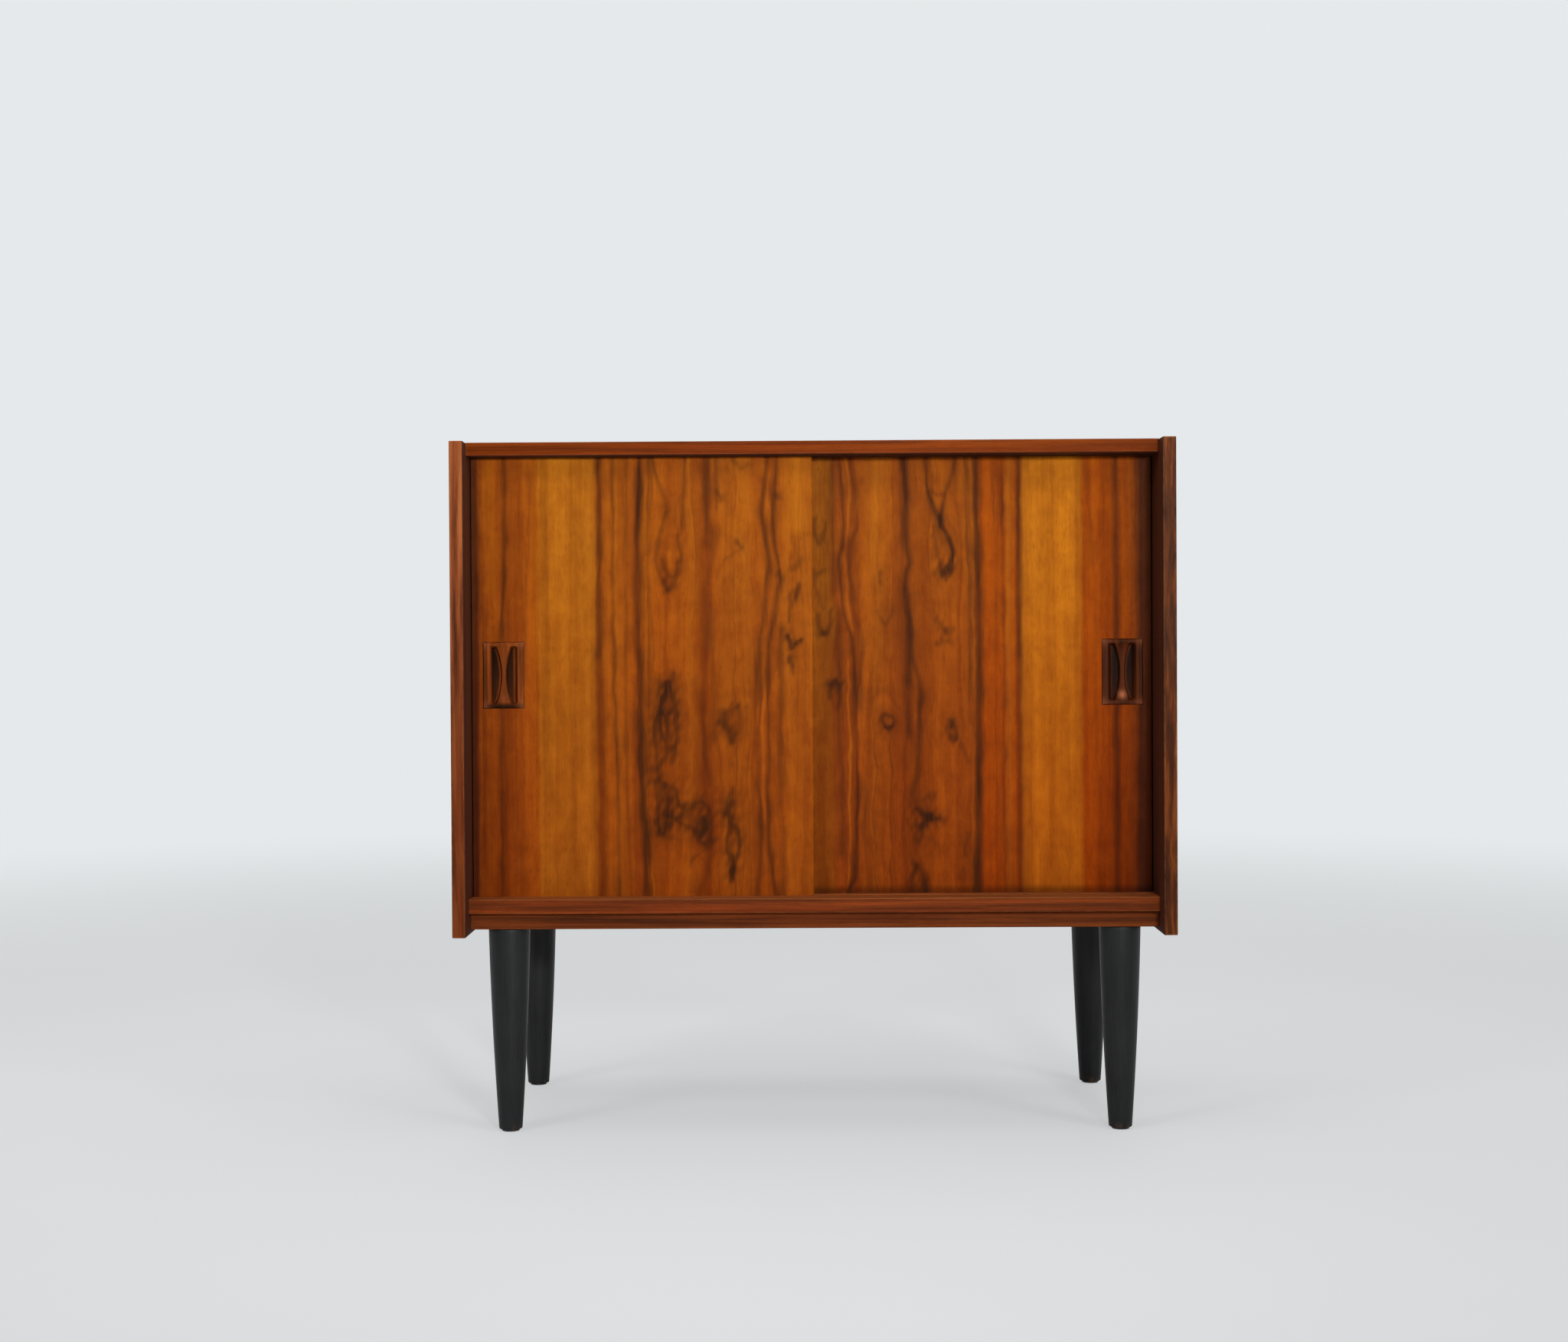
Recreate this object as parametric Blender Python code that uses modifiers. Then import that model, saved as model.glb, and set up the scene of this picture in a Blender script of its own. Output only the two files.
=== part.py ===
"""Stereo cabinet: a veneered case on four turned legs, closed by two sliding doors with let-in pulls.

Metres, +Z up. The origin is on the floor under the middle of the case, and the front faces -Y.
"""

import math

import bmesh
import bpy
from mathutils import Matrix, Vector

# Case
CABINET_WIDTH = 0.850
CABINET_DEPTH = 0.400
SIDE_HEIGHT = 0.583
SIDE_THICKNESS = 0.016
SIDE_DROP = 0.005  # how far the sides hang below the bottom panel
TOP_THICKNESS = 0.016
TOP_SETBACK = 0.025  # from the sides' front edges
BOTTOM_THICKNESS = 0.020
BOTTOM_SETBACK = 0.040
LIPPING_DEPTH = 0.006
EDGE_EASE = 0.0008

# Joints of the case
FIT_GAP = 0.0003  # glue line, or the play of a fitted piece
HOUSING_DEPTH = 0.006
HOUSING_TONGUE = 0.007
HOUSING_STOP = 0.012  # plain length left behind a housing
PARTITION_HOUSING = 0.005

# Back
BACK_THICKNESS = 0.006
BACK_INSET = 0.004
BACK_REBATE = 0.008
BACK_SCREW_INSET = 0.060
BACK_SCREW_LENGTH = 0.020

# Door track
TRACK_HEIGHT = 0.017
TRACK_SETBACK = 0.025
TRACK_REAR_MARGIN = 0.010
TRACK_GROOVE_DEPTH = 0.007
TOP_GROOVE_DEPTH = 0.010
TRACK_SCREW_LENGTH = 0.028
TRACK_SCREW_INSET = 0.120

# Doors
DOOR_FACE_SETBACK = 0.030  # front door's face behind the track's front edge
DOOR_THICKNESS = 0.016
DOOR_SPACING = 0.006
DOOR_SIDE_GAP = 0.001
DOOR_OVERLAP = 0.010  # how far the rear door runs behind the front one
DOOR_TONGUE = 0.008
TONGUE_PLAY = 0.0006
SHOULDER_GAP = 0.001
LIFT_ROOM = 0.0065  # free height over the upper tongue, for lifting a door out
RUNNER_LENGTH = 0.030
RUNNER_THICKNESS = 0.0015
RUNNER_INSET = 0.050
RUNNER_MARGIN = 0.0005

# Door pulls
PULL_WIDTH = 0.049
PULL_HEIGHT = 0.079
PULL_THICKNESS = 0.0125
PULL_PROUD = 0.0008
LEFT_PULL_EDGE_DISTANCE = 0.038  # pull's centre from the door's outer edge
RIGHT_PULL_EDGE_DISTANCE = 0.0355
PULL_RISE = 0.003  # pull's centre over the middle of the door opening
PULL_RIM = 0.007
PULL_END_RIM = 0.0042
HOLLOW_DEPTH = 0.0095
RIB_END_WIDTH = 0.019
RIB_WAIST = 0.006
HOLLOW_STEPS = 12

# Inside
PARTITION_THICKNESS = 0.016
PARTITION_CLEARANCE = 0.002
SHELF_THICKNESS = 0.016
SHELF_RISE = 0.330  # shelf's underside over the bottom panel
SHELF_SETBACK = 0.015
SHELF_END_GAP = 0.0008
SHELF_BACK_GAP = 0.002
PIN_RADIUS = 0.0025
PIN_EMBED = 0.0055
PIN_REACH = 0.009
PIN_INSET = 0.040
PIN_HOLE_PITCH = 0.032
PIN_HOLE_STEPS = (-2, -1, 0, 1, 2)

# Legs
LEG_HEIGHT = 0.245  # floor to the underside of the bottom panel
LEG_TOP_RADIUS = 0.0248
LEG_FOOT_RADIUS = 0.0140
LEG_BELLY = 0.5  # 0 is a straight taper
LEG_CHAMFER = 0.0012
LEG_SIDE_INSET = 0.0585
LEG_FRONT_INSET = 0.066
LEG_REAR_INSET = 0.060
LEG_RINGS = 9
LEG_SIDES = 28
BOLT_RADIUS = 0.004
BOLT_IN_LEG = 0.035
BOLT_IN_INSERT = 0.012
INSERT_RADIUS = 0.007
INSERT_LENGTH = 0.014
FOOT_GLIDE_RADIUS = 0.0105
FOOT_GLIDE_THICKNESS = 0.002
FOOT_SPIGOT_RADIUS = 0.003
FOOT_SPIGOT_LENGTH = 0.010

# Screws
SCREW_HEAD_RADIUS = 0.0034
SCREW_HEAD_HEIGHT = 0.0020
SCREW_RADIUS = 0.00175
SCREW_TIP = 0.0030
PEG_SIDES = 10

CUT_MARGIN = 0.004  # how far a cutter reaches past the face it opens
CAP_WELD = 0.000001

# Places worked out from the sizes above
HALF_WIDTH = CABINET_WIDTH / 2
INNER_HALF = HALF_WIDTH - SIDE_THICKNESS
FRONT = -CABINET_DEPTH / 2
BACK = CABINET_DEPTH / 2
SIDE_LOW = LEG_HEIGHT - SIDE_DROP
SIDE_TOP = SIDE_LOW + SIDE_HEIGHT
BOTTOM_TOP = LEG_HEIGHT + BOTTOM_THICKNESS
TOP_LOW = SIDE_TOP - TOP_THICKNESS
PANEL_HALF = INNER_HALF - FIT_GAP

BACK_FACE = BACK - BACK_INSET
BACK_FRONT = BACK_FACE - BACK_THICKNESS
REBATE_SHOULDER = BACK_FRONT - FIT_GAP
BACK_LOW = BOTTOM_TOP - BACK_REBATE + FIT_GAP
BACK_TOP = TOP_LOW + BACK_REBATE - FIT_GAP

TRACK_FRONT = FRONT + TRACK_SETBACK
TRACK_LOW = BOTTOM_TOP + FIT_GAP
TRACK_TOP = TRACK_LOW + TRACK_HEIGHT
FRONT_DOOR_FACE = TRACK_FRONT + DOOR_FACE_SETBACK
DOOR_PITCH = DOOR_THICKNESS + DOOR_SPACING
REAR_DOOR_FACE = FRONT_DOOR_FACE + DOOR_PITCH
TRACK_BACK = REAR_DOOR_FACE + DOOR_THICKNESS + TRACK_REAR_MARGIN

RUNNER_LOW = TRACK_TOP - TRACK_GROOVE_DEPTH + FIT_GAP
DOOR_LOW = RUNNER_LOW + RUNNER_THICKNESS + FIT_GAP
DOOR_TOP = TOP_LOW + TOP_GROOVE_DEPTH - LIFT_ROOM
DOOR_OUTER = INNER_HALF - DOOR_SIDE_GAP
PULL_CENTRE_X = {"left": DOOR_OUTER - LEFT_PULL_EDGE_DISTANCE, "right": DOOR_OUTER - RIGHT_PULL_EDGE_DISTANCE}
PULL_CENTRE_Z = (TRACK_TOP + TOP_LOW) / 2 + PULL_RISE

HOUSING_FRONT = TRACK_BACK
HOUSING_BACK = REBATE_SHOULDER - HOUSING_STOP
PARTITION_FRONT = TRACK_BACK + PARTITION_CLEARANCE
PARTITION_HALF = PARTITION_THICKNESS / 2
SHELF_FRONT = PARTITION_FRONT + SHELF_SETBACK
SHELF_BACK = BACK_FRONT - SHELF_BACK_GAP
SHELF_LOW = BOTTOM_TOP + SHELF_RISE
PIN_Z = SHELF_LOW - FIT_GAP - PIN_RADIUS
PIN_ROWS = {"front": SHELF_FRONT + PIN_INSET, "rear": SHELF_BACK - PIN_INSET}

LEG_X = HALF_WIDTH - LEG_SIDE_INSET
LEG_Y = {"front": FRONT + LEG_FRONT_INSET, "rear": BACK - LEG_REAR_INSET}
LEG_LOW = FOOT_GLIDE_THICKNESS + FIT_GAP
LEG_TOP = LEG_HEIGHT - FIT_GAP

SIGNS = {"left": -1, "right": 1}
OUTWARD = {
    "left": Vector((-1, 0, 0)),
    "right": Vector((1, 0, 0)),
    "front": Vector((0, -1, 0)),
    "back": Vector((0, 1, 0)),
    "bottom": Vector((0, 0, -1)),
    "top": Vector((0, 0, 1)),
}


def start_clean():
    """Take every object out of the scene."""
    for item in list(bpy.data.objects):
        bpy.data.objects.remove(item, do_unlink=True)


def new_collection(name):
    group = bpy.data.collections.new(name)
    bpy.context.scene.collection.children.link(group)
    return group


def surface(name, colour, roughness, metallic=0.0):
    """A plain Principled material."""
    material = bpy.data.materials.new(name)
    material.use_nodes = True
    shader = material.node_tree.nodes["Principled BSDF"]
    shader.inputs["Base Color"].default_value = (*colour, 1.0)
    shader.inputs["Roughness"].default_value = roughness
    shader.inputs["Metallic"].default_value = metallic
    return material


def attach(item, parent):
    """Hang an object on an unturned parent without moving it."""
    item.parent = parent
    item.matrix_parent_inverse = Matrix.Translation(parent.location).inverted()


def add_object(name, mesh, place, material=None, parent=None):
    """Link a mesh as a named part, or as a hidden cutter when it has no material."""
    item = bpy.data.objects.new(name, mesh)
    item.location = place
    if material is None:
        CUTTERS.objects.link(item)
        item.hide_render = True
        item.display_type = "WIRE"
    else:
        PARTS.objects.link(item)
        mesh.materials.append(material)
    if parent is not None:
        attach(item, parent)
    return item


def mesh_of(name, shape):
    mesh = bpy.data.meshes.new(name)
    bmesh.ops.recalc_face_normals(shape, faces=shape.faces)
    shape.to_mesh(mesh)
    shape.free()
    return mesh


def lies_on(edge, side):
    """True where an edge of a centred box lies on the named side of it."""
    return all(vertex.co.dot(OUTWARD[side]) > 0 for vertex in edge.verts)


def box_shape(low, high):
    """A box centred on its own origin, and the place of its centre."""
    size = [top - base for base, top in zip(low, high)]
    centre = [(top + base) / 2 for base, top in zip(low, high)]
    shape = bmesh.new()
    bmesh.ops.create_cube(shape, size=1.0)
    bmesh.ops.scale(shape, vec=size, verts=shape.verts)
    return shape, centre


def board(name, low, high, material, joints=(), parent=None):
    """A board whose edges are eased, except those along the sides that are glued to another piece."""
    shape, centre = box_shape(low, high)
    free = [edge for edge in shape.edges if not any(lies_on(edge, side) for side in joints)]
    if free:
        bmesh.ops.bevel(shape, geom=free, offset=EDGE_EASE, segments=1, affect="EDGES")
    return add_object(name, mesh_of(name, shape), centre, material, parent)


def box_cutter(name, low, high, parent=None):
    shape, centre = box_shape(low, high)
    return add_object(name, mesh_of(name, shape), centre, parent=parent)


def apply_shape(item, cutter, operation="DIFFERENCE"):
    """Cut the helper out of an object, or join it on."""
    change = item.modifiers.new(cutter.name, "BOOLEAN")
    change.operation = operation
    change.solver = "EXACT"
    change.object = cutter
    return item


def add_peg(shape, centre, radius, length, axis):
    """Put a plain round peg into a shape, its middle at the centre."""
    turn = Vector((0, 0, 1)).rotation_difference(Vector(axis)).to_matrix().to_4x4()
    bmesh.ops.create_cone(
        shape,
        cap_ends=True,
        segments=PEG_SIDES,
        radius1=radius,
        radius2=radius,
        depth=length,
        matrix=Matrix.Translation(centre) @ turn,
    )


def turned(name, profile, place, material=None, sides=PEG_SIDES, rotation=(0, 0, 0)):
    """A turned piece: the profile, listed from its top down the outer side, is spun about its own axis."""
    mesh = bpy.data.meshes.new(name)
    points = [(radius, 0, height) for radius, height in profile]
    edges = [(step, step + 1) for step in range(len(points) - 1)]
    mesh.from_pydata(points, edges, [])
    item = add_object(name, mesh, place, material)
    item.rotation_euler = rotation
    spin = item.modifiers.new("Spin", "SCREW")
    spin.steps = sides
    spin.render_steps = sides
    spin.use_merge_vertices = True
    spin.merge_threshold = 0.00005
    spin.use_smooth_shade = True
    return item


def build_sides(veneer, solid):
    """Side panels with their front lippings, housings, back rebates and rows of pin holes."""
    for side, sign in SIGNS.items():
        span = sorted((sign * INNER_HALF, sign * HALF_WIDTH))
        board(
            f"{side}_side_lipping",
            (span[0], FRONT, SIDE_LOW),
            (span[1], FRONT + LIPPING_DEPTH, SIDE_TOP),
            solid,
            joints=("back",),
        )
        panel = board(
            f"{side}_side_panel",
            (span[0], FRONT + LIPPING_DEPTH + FIT_GAP, SIDE_LOW),
            (span[1], BACK, SIDE_TOP),
            veneer,
            joints=("front",),
        )
        for level, low, thickness in (
            ("top", TOP_LOW, TOP_THICKNESS),
            ("bottom", LEG_HEIGHT, BOTTOM_THICKNESS),
        ):
            middle = low + thickness / 2
            reach = sorted((sign * (INNER_HALF - CUT_MARGIN), sign * (INNER_HALF + HOUSING_DEPTH)))
            housing = box_cutter(
                f"cut_{side}_{level}_housing",
                (reach[0], HOUSING_FRONT - FIT_GAP, middle - HOUSING_TONGUE / 2 - FIT_GAP),
                (reach[1], HOUSING_BACK + FIT_GAP, middle + HOUSING_TONGUE / 2 + FIT_GAP),
            )
            apply_shape(panel, housing)
        reach = sorted((sign * (INNER_HALF - CUT_MARGIN), sign * (INNER_HALF + BACK_REBATE)))
        rebate = box_cutter(
            f"cut_{side}_back_rebate",
            (reach[0], REBATE_SHOULDER, BACK_LOW - FIT_GAP),
            (reach[1], BACK + CUT_MARGIN, BACK_TOP + FIT_GAP),
        )
        apply_shape(panel, rebate)
        apply_shape(panel, pin_hole_cutter(f"cut_{side}_pin_holes", sign * INNER_HALF, sign))
        yield side, panel


def pin_hole_cutter(name, wall, direction):
    """Two rows of blind holes into a wall at x, drilled towards +X or -X."""
    depth = PIN_EMBED + FIT_GAP
    shape = bmesh.new()
    for row in PIN_ROWS.values():
        for step in PIN_HOLE_STEPS:
            centre = (wall + direction * (depth - CUT_MARGIN) / 2, row, PIN_Z + step * PIN_HOLE_PITCH)
            add_peg(shape, centre, PIN_RADIUS + FIT_GAP, depth + CUT_MARGIN, (1, 0, 0))
    return add_object(name, mesh_of(name, shape), (0, 0, 0))


def join_end_tongues(panel, level, low, thickness):
    """A stub tongue at each end of a panel, for the housings in the sides."""
    middle = low + thickness / 2
    for side, sign in SIGNS.items():
        root = PANEL_HALF - CUT_MARGIN
        tip = INNER_HALF + HOUSING_DEPTH - FIT_GAP
        reach = sorted((sign * root, sign * tip))
        tongue = box_cutter(
            f"join_{side}_{level}_tongue",
            (reach[0], HOUSING_FRONT, middle - HOUSING_TONGUE / 2),
            (reach[1], HOUSING_BACK, middle + HOUSING_TONGUE / 2),
        )
        apply_shape(panel, tongue, "UNION")


def groove_cutter(name, face, low, high):
    """A groove right across the case for a door tongue whose front is at the given face."""
    return box_cutter(
        name,
        (-INNER_HALF - CUT_MARGIN, face - TONGUE_PLAY, low),
        (INNER_HALF + CUT_MARGIN, face + DOOR_TONGUE + TONGUE_PLAY, high),
    )


def build_top(veneer, solid):
    """Top panel: door grooves below, a housing for the partition and a rebate for the back."""
    front = FRONT + TOP_SETBACK
    board(
        "top_lipping",
        (-PANEL_HALF, front, TOP_LOW),
        (PANEL_HALF, front + LIPPING_DEPTH, SIDE_TOP),
        solid,
        joints=("left", "right", "back"),
    )
    panel = board(
        "top_panel",
        (-PANEL_HALF, front + LIPPING_DEPTH + FIT_GAP, TOP_LOW),
        (PANEL_HALF, BACK, SIDE_TOP),
        veneer,
        joints=("left", "right", "front", "bottom"),
    )
    join_end_tongues(panel, "top", TOP_LOW, TOP_THICKNESS)
    below = TOP_LOW - CUT_MARGIN
    roof = TOP_LOW + TOP_GROOVE_DEPTH
    apply_shape(panel, groove_cutter("cut_top_front_groove", FRONT_DOOR_FACE, below, roof))
    apply_shape(panel, groove_cutter("cut_top_rear_groove", REAR_DOOR_FACE, below, roof))
    rebate = box_cutter(
        "cut_top_back_rebate",
        (-INNER_HALF - CUT_MARGIN, REBATE_SHOULDER, below),
        (INNER_HALF + CUT_MARGIN, BACK + CUT_MARGIN, TOP_LOW + BACK_REBATE),
    )
    apply_shape(panel, rebate)
    housing = box_cutter(
        "cut_top_partition_housing",
        (-PARTITION_HALF - FIT_GAP, PARTITION_FRONT + LIPPING_DEPTH, below),
        (PARTITION_HALF + FIT_GAP, BACK_FRONT + FIT_GAP, TOP_LOW + PARTITION_HOUSING),
    )
    apply_shape(panel, housing)
    return panel


def build_bottom(veneer, solid):
    """Bottom panel: a housing for the partition, a rebate for the back and holes for the leg inserts."""
    front = FRONT + BOTTOM_SETBACK
    board(
        "bottom_lipping",
        (-PANEL_HALF, front, LEG_HEIGHT),
        (PANEL_HALF, front + LIPPING_DEPTH, BOTTOM_TOP),
        solid,
        joints=("left", "right", "back"),
    )
    panel = board(
        "bottom_panel",
        (-PANEL_HALF, front + LIPPING_DEPTH + FIT_GAP, LEG_HEIGHT),
        (PANEL_HALF, BACK, BOTTOM_TOP),
        veneer,
        joints=("left", "right", "front", "top"),
    )
    join_end_tongues(panel, "bottom", LEG_HEIGHT, BOTTOM_THICKNESS)
    above = BOTTOM_TOP + CUT_MARGIN
    rebate = box_cutter(
        "cut_bottom_back_rebate",
        (-INNER_HALF - CUT_MARGIN, REBATE_SHOULDER, BOTTOM_TOP - BACK_REBATE),
        (INNER_HALF + CUT_MARGIN, BACK + CUT_MARGIN, above),
    )
    apply_shape(panel, rebate)
    housing = box_cutter(
        "cut_bottom_partition_housing",
        (-PARTITION_HALF - FIT_GAP, PARTITION_FRONT + LIPPING_DEPTH, BOTTOM_TOP - PARTITION_HOUSING),
        (PARTITION_HALF + FIT_GAP, BACK_FRONT + FIT_GAP, above),
    )
    apply_shape(panel, housing)
    radius = INSERT_RADIUS + FIT_GAP
    roof = LEG_HEIGHT + INSERT_LENGTH + FIT_GAP
    mouth = LEG_HEIGHT - CUT_MARGIN
    hole_profile = [(0, roof), (radius, roof), (radius, mouth), (0, mouth)]
    for row, y in LEG_Y.items():
        for side, sign in SIGNS.items():
            hole = turned(f"cut_{row}_{side}_insert_hole", hole_profile, (sign * LEG_X, y, 0))
            apply_shape(panel, hole)
    return panel


def build_track(solid):
    """The strip that carries the doors, with a groove for each."""
    track = board(
        "door_track",
        (-PANEL_HALF, TRACK_FRONT, TRACK_LOW),
        (PANEL_HALF, TRACK_BACK, TRACK_TOP),
        solid,
        joints=("left", "right", "bottom"),
    )
    floor = TRACK_TOP - TRACK_GROOVE_DEPTH
    above = TRACK_TOP + CUT_MARGIN
    apply_shape(track, groove_cutter("cut_track_front_groove", FRONT_DOOR_FACE, floor, above))
    apply_shape(track, groove_cutter("cut_track_rear_groove", REAR_DOOR_FACE, floor, above))
    return track


def screw_profile(length, gap=0.0, proud=0.0):
    """Half outline of a countersunk wood screw, its head at height 0 and its tip below."""
    head = SCREW_HEAD_RADIUS + gap
    shank = SCREW_RADIUS + gap
    tip = length + gap
    outline = [(0, proud), (head, proud)]
    if proud > gap:
        outline.append((head, gap))
    outline.append((shank, -SCREW_HEAD_HEIGHT))
    outline.append((shank, SCREW_TIP - tip))
    outline.append((0, -tip))
    return outline


def drive_screw(name, place, rotation, length, boards, metal):
    """A screw with its head at the place, and its clearance hole through the boards."""
    turned(name, screw_profile(length), place, metal, rotation=rotation)
    hole = turned(f"cut_{name}", screw_profile(length, FIT_GAP, CUT_MARGIN), place, rotation=rotation)
    for item in boards:
        apply_shape(item, hole)


def build_back(plywood, panels, metal):
    """Back panel in the rebates, screwed to both sides."""
    half = INNER_HALF + BACK_REBATE - FIT_GAP
    back = board(
        "back_panel",
        (-half, BACK_FRONT, BACK_LOW),
        (half, BACK_FACE, BACK_TOP),
        plywood,
        joints=("front",),
    )
    heights = {
        "lower": BACK_LOW + BACK_SCREW_INSET,
        "middle": (BACK_LOW + BACK_TOP) / 2,
        "upper": BACK_TOP - BACK_SCREW_INSET,
    }
    outward = (-math.pi / 2, 0, 0)
    for side, sign in SIGNS.items():
        for level, height in heights.items():
            place = (sign * (INNER_HALF + BACK_REBATE / 2), BACK_FACE, height)
            name = f"back_screw_{side}_{level}"
            drive_screw(name, place, outward, BACK_SCREW_LENGTH, (back, panels[side]), metal)


def screw_track(track, bottom, metal):
    """Screws up through the bottom panel, into the track between its grooves."""
    front_groove_back = FRONT_DOOR_FACE + DOOR_TONGUE + TONGUE_PLAY
    rear_groove_front = REAR_DOOR_FACE - TONGUE_PLAY
    y = (front_groove_back + rear_groove_front) / 2
    outer = PANEL_HALF - TRACK_SCREW_INSET
    downward = (math.pi, 0, 0)
    for name, x in (("left", -outer), ("middle", 0), ("right", outer)):
        drive_screw(
            f"track_screw_{name}", (x, y, LEG_HEIGHT), downward, TRACK_SCREW_LENGTH, (bottom, track), metal
        )


def build_partition(veneer, solid):
    """Upright in the middle of the case, housed in the top and the bottom."""
    lipping_back = PARTITION_FRONT + LIPPING_DEPTH
    board(
        "partition_lipping",
        (-PARTITION_HALF, PARTITION_FRONT, BOTTOM_TOP + FIT_GAP),
        (PARTITION_HALF, lipping_back, TOP_LOW - FIT_GAP),
        solid,
        joints=("back", "top", "bottom"),
    )
    partition = board(
        "centre_partition",
        (-PARTITION_HALF, lipping_back + FIT_GAP, BOTTOM_TOP - PARTITION_HOUSING + FIT_GAP),
        (PARTITION_HALF, BACK_FRONT - FIT_GAP, TOP_LOW + PARTITION_HOUSING - FIT_GAP),
        veneer,
        joints=("front", "back", "top", "bottom"),
    )
    for side, sign in SIGNS.items():
        holes = pin_hole_cutter(f"cut_partition_{side}_pin_holes", sign * PARTITION_HALF, -sign)
        apply_shape(partition, holes)


def build_shelves(veneer, solid, metal):
    """One shelf in each bay, on four pins."""
    for side, sign in SIGNS.items():
        inner = PARTITION_HALF + SHELF_END_GAP
        outer = INNER_HALF - SHELF_END_GAP
        span = sorted((sign * inner, sign * outer))
        lipping_back = SHELF_FRONT + LIPPING_DEPTH
        top = SHELF_LOW + SHELF_THICKNESS
        board(
            f"{side}_shelf_lipping",
            (span[0], SHELF_FRONT, SHELF_LOW),
            (span[1], lipping_back, top),
            solid,
            joints=("back",),
        )
        board(
            f"{side}_shelf",
            (span[0], lipping_back + FIT_GAP, SHELF_LOW),
            (span[1], SHELF_BACK, top),
            veneer,
            joints=("front",),
        )
        walls = {"outer": (sign * INNER_HALF, -sign), "inner": (sign * PARTITION_HALF, sign)}
        for end, (wall, into_bay) in walls.items():
            for row, y in PIN_ROWS.items():
                place = (wall + into_bay * (PIN_REACH - PIN_EMBED) / 2, y, PIN_Z)
                add_pin(f"{side}_shelf_pin_{end}_{row}", place, metal)


def add_pin(name, place, metal):
    shape = bmesh.new()
    add_peg(shape, (0, 0, 0), PIN_RADIUS, PIN_EMBED + PIN_REACH, (1, 0, 0))
    mesh = mesh_of(name, shape)
    mesh.shade_smooth()
    mesh.set_sharp_from_angle(angle=math.radians(50))
    add_object(name, mesh, place, metal)


def outline_cutter(name, outline, thickness, place, parent):
    """A cutter whose flat outline lies in X and Z, with the place in the middle of its thickness along Y."""
    curve = bpy.data.curves.new(name, "CURVE")
    curve.dimensions = "2D"
    curve.fill_mode = "BOTH"
    curve.extrude = thickness / 2
    spline = curve.splines.new("POLY")
    spline.points.add(len(outline) - 1)
    spline.use_cyclic_u = True
    for point, (x, z) in zip(spline.points, outline):
        point.co = (x, z, 0, 1)
    guide = bpy.data.objects.new(name, curve)
    guide.location = place
    guide.rotation_euler = (math.pi / 2, 0, 0)
    CUTTERS.objects.link(guide)
    bpy.context.view_layer.update()
    mesh = bpy.data.meshes.new_from_object(guide.evaluated_get(bpy.context.evaluated_depsgraph_get()))
    stand = guide.matrix_world.copy()
    bpy.data.objects.remove(guide, do_unlink=True)
    shape = bmesh.new()
    shape.from_mesh(mesh)
    bmesh.ops.remove_doubles(shape, verts=shape.verts, dist=CAP_WELD)
    cutter = add_object(name, mesh_of(name, shape), place)
    cutter.matrix_world = stand
    attach(cutter, parent)
    return cutter


def hollow_outline(sign):
    """A finger hollow, straight outside and bowed towards the rib, so that the rib has a waist."""
    outer = PULL_WIDTH / 2 - PULL_RIM
    half_height = PULL_HEIGHT / 2 - PULL_END_RIM
    outline = [(sign * outer, -half_height), (sign * outer, half_height)]
    for step in range(HOLLOW_STEPS + 1):
        across = 1 - 2 * step / HOLLOW_STEPS
        half_rib = (RIB_WAIST + (RIB_END_WIDTH - RIB_WAIST) * across**2) / 2
        outline.append((sign * half_rib, across * half_height))
    return outline


def build_pull(side, centre, face, wood, parent):
    pull = board(
        f"{side}_door_pull",
        (centre - PULL_WIDTH / 2, face - PULL_PROUD, PULL_CENTRE_Z - PULL_HEIGHT / 2),
        (centre + PULL_WIDTH / 2, face - PULL_PROUD + PULL_THICKNESS, PULL_CENTRE_Z + PULL_HEIGHT / 2),
        wood,
        joints=("back",),
        parent=parent,
    )
    thickness = HOLLOW_DEPTH + CUT_MARGIN
    place = (centre, face - PULL_PROUD + HOLLOW_DEPTH - thickness / 2, PULL_CENTRE_Z)
    for hand, sign in SIGNS.items():
        name = f"cut_{side}_pull_{hand}_hollow"
        apply_shape(pull, outline_cutter(name, hollow_outline(sign), thickness, place, parent))


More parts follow.
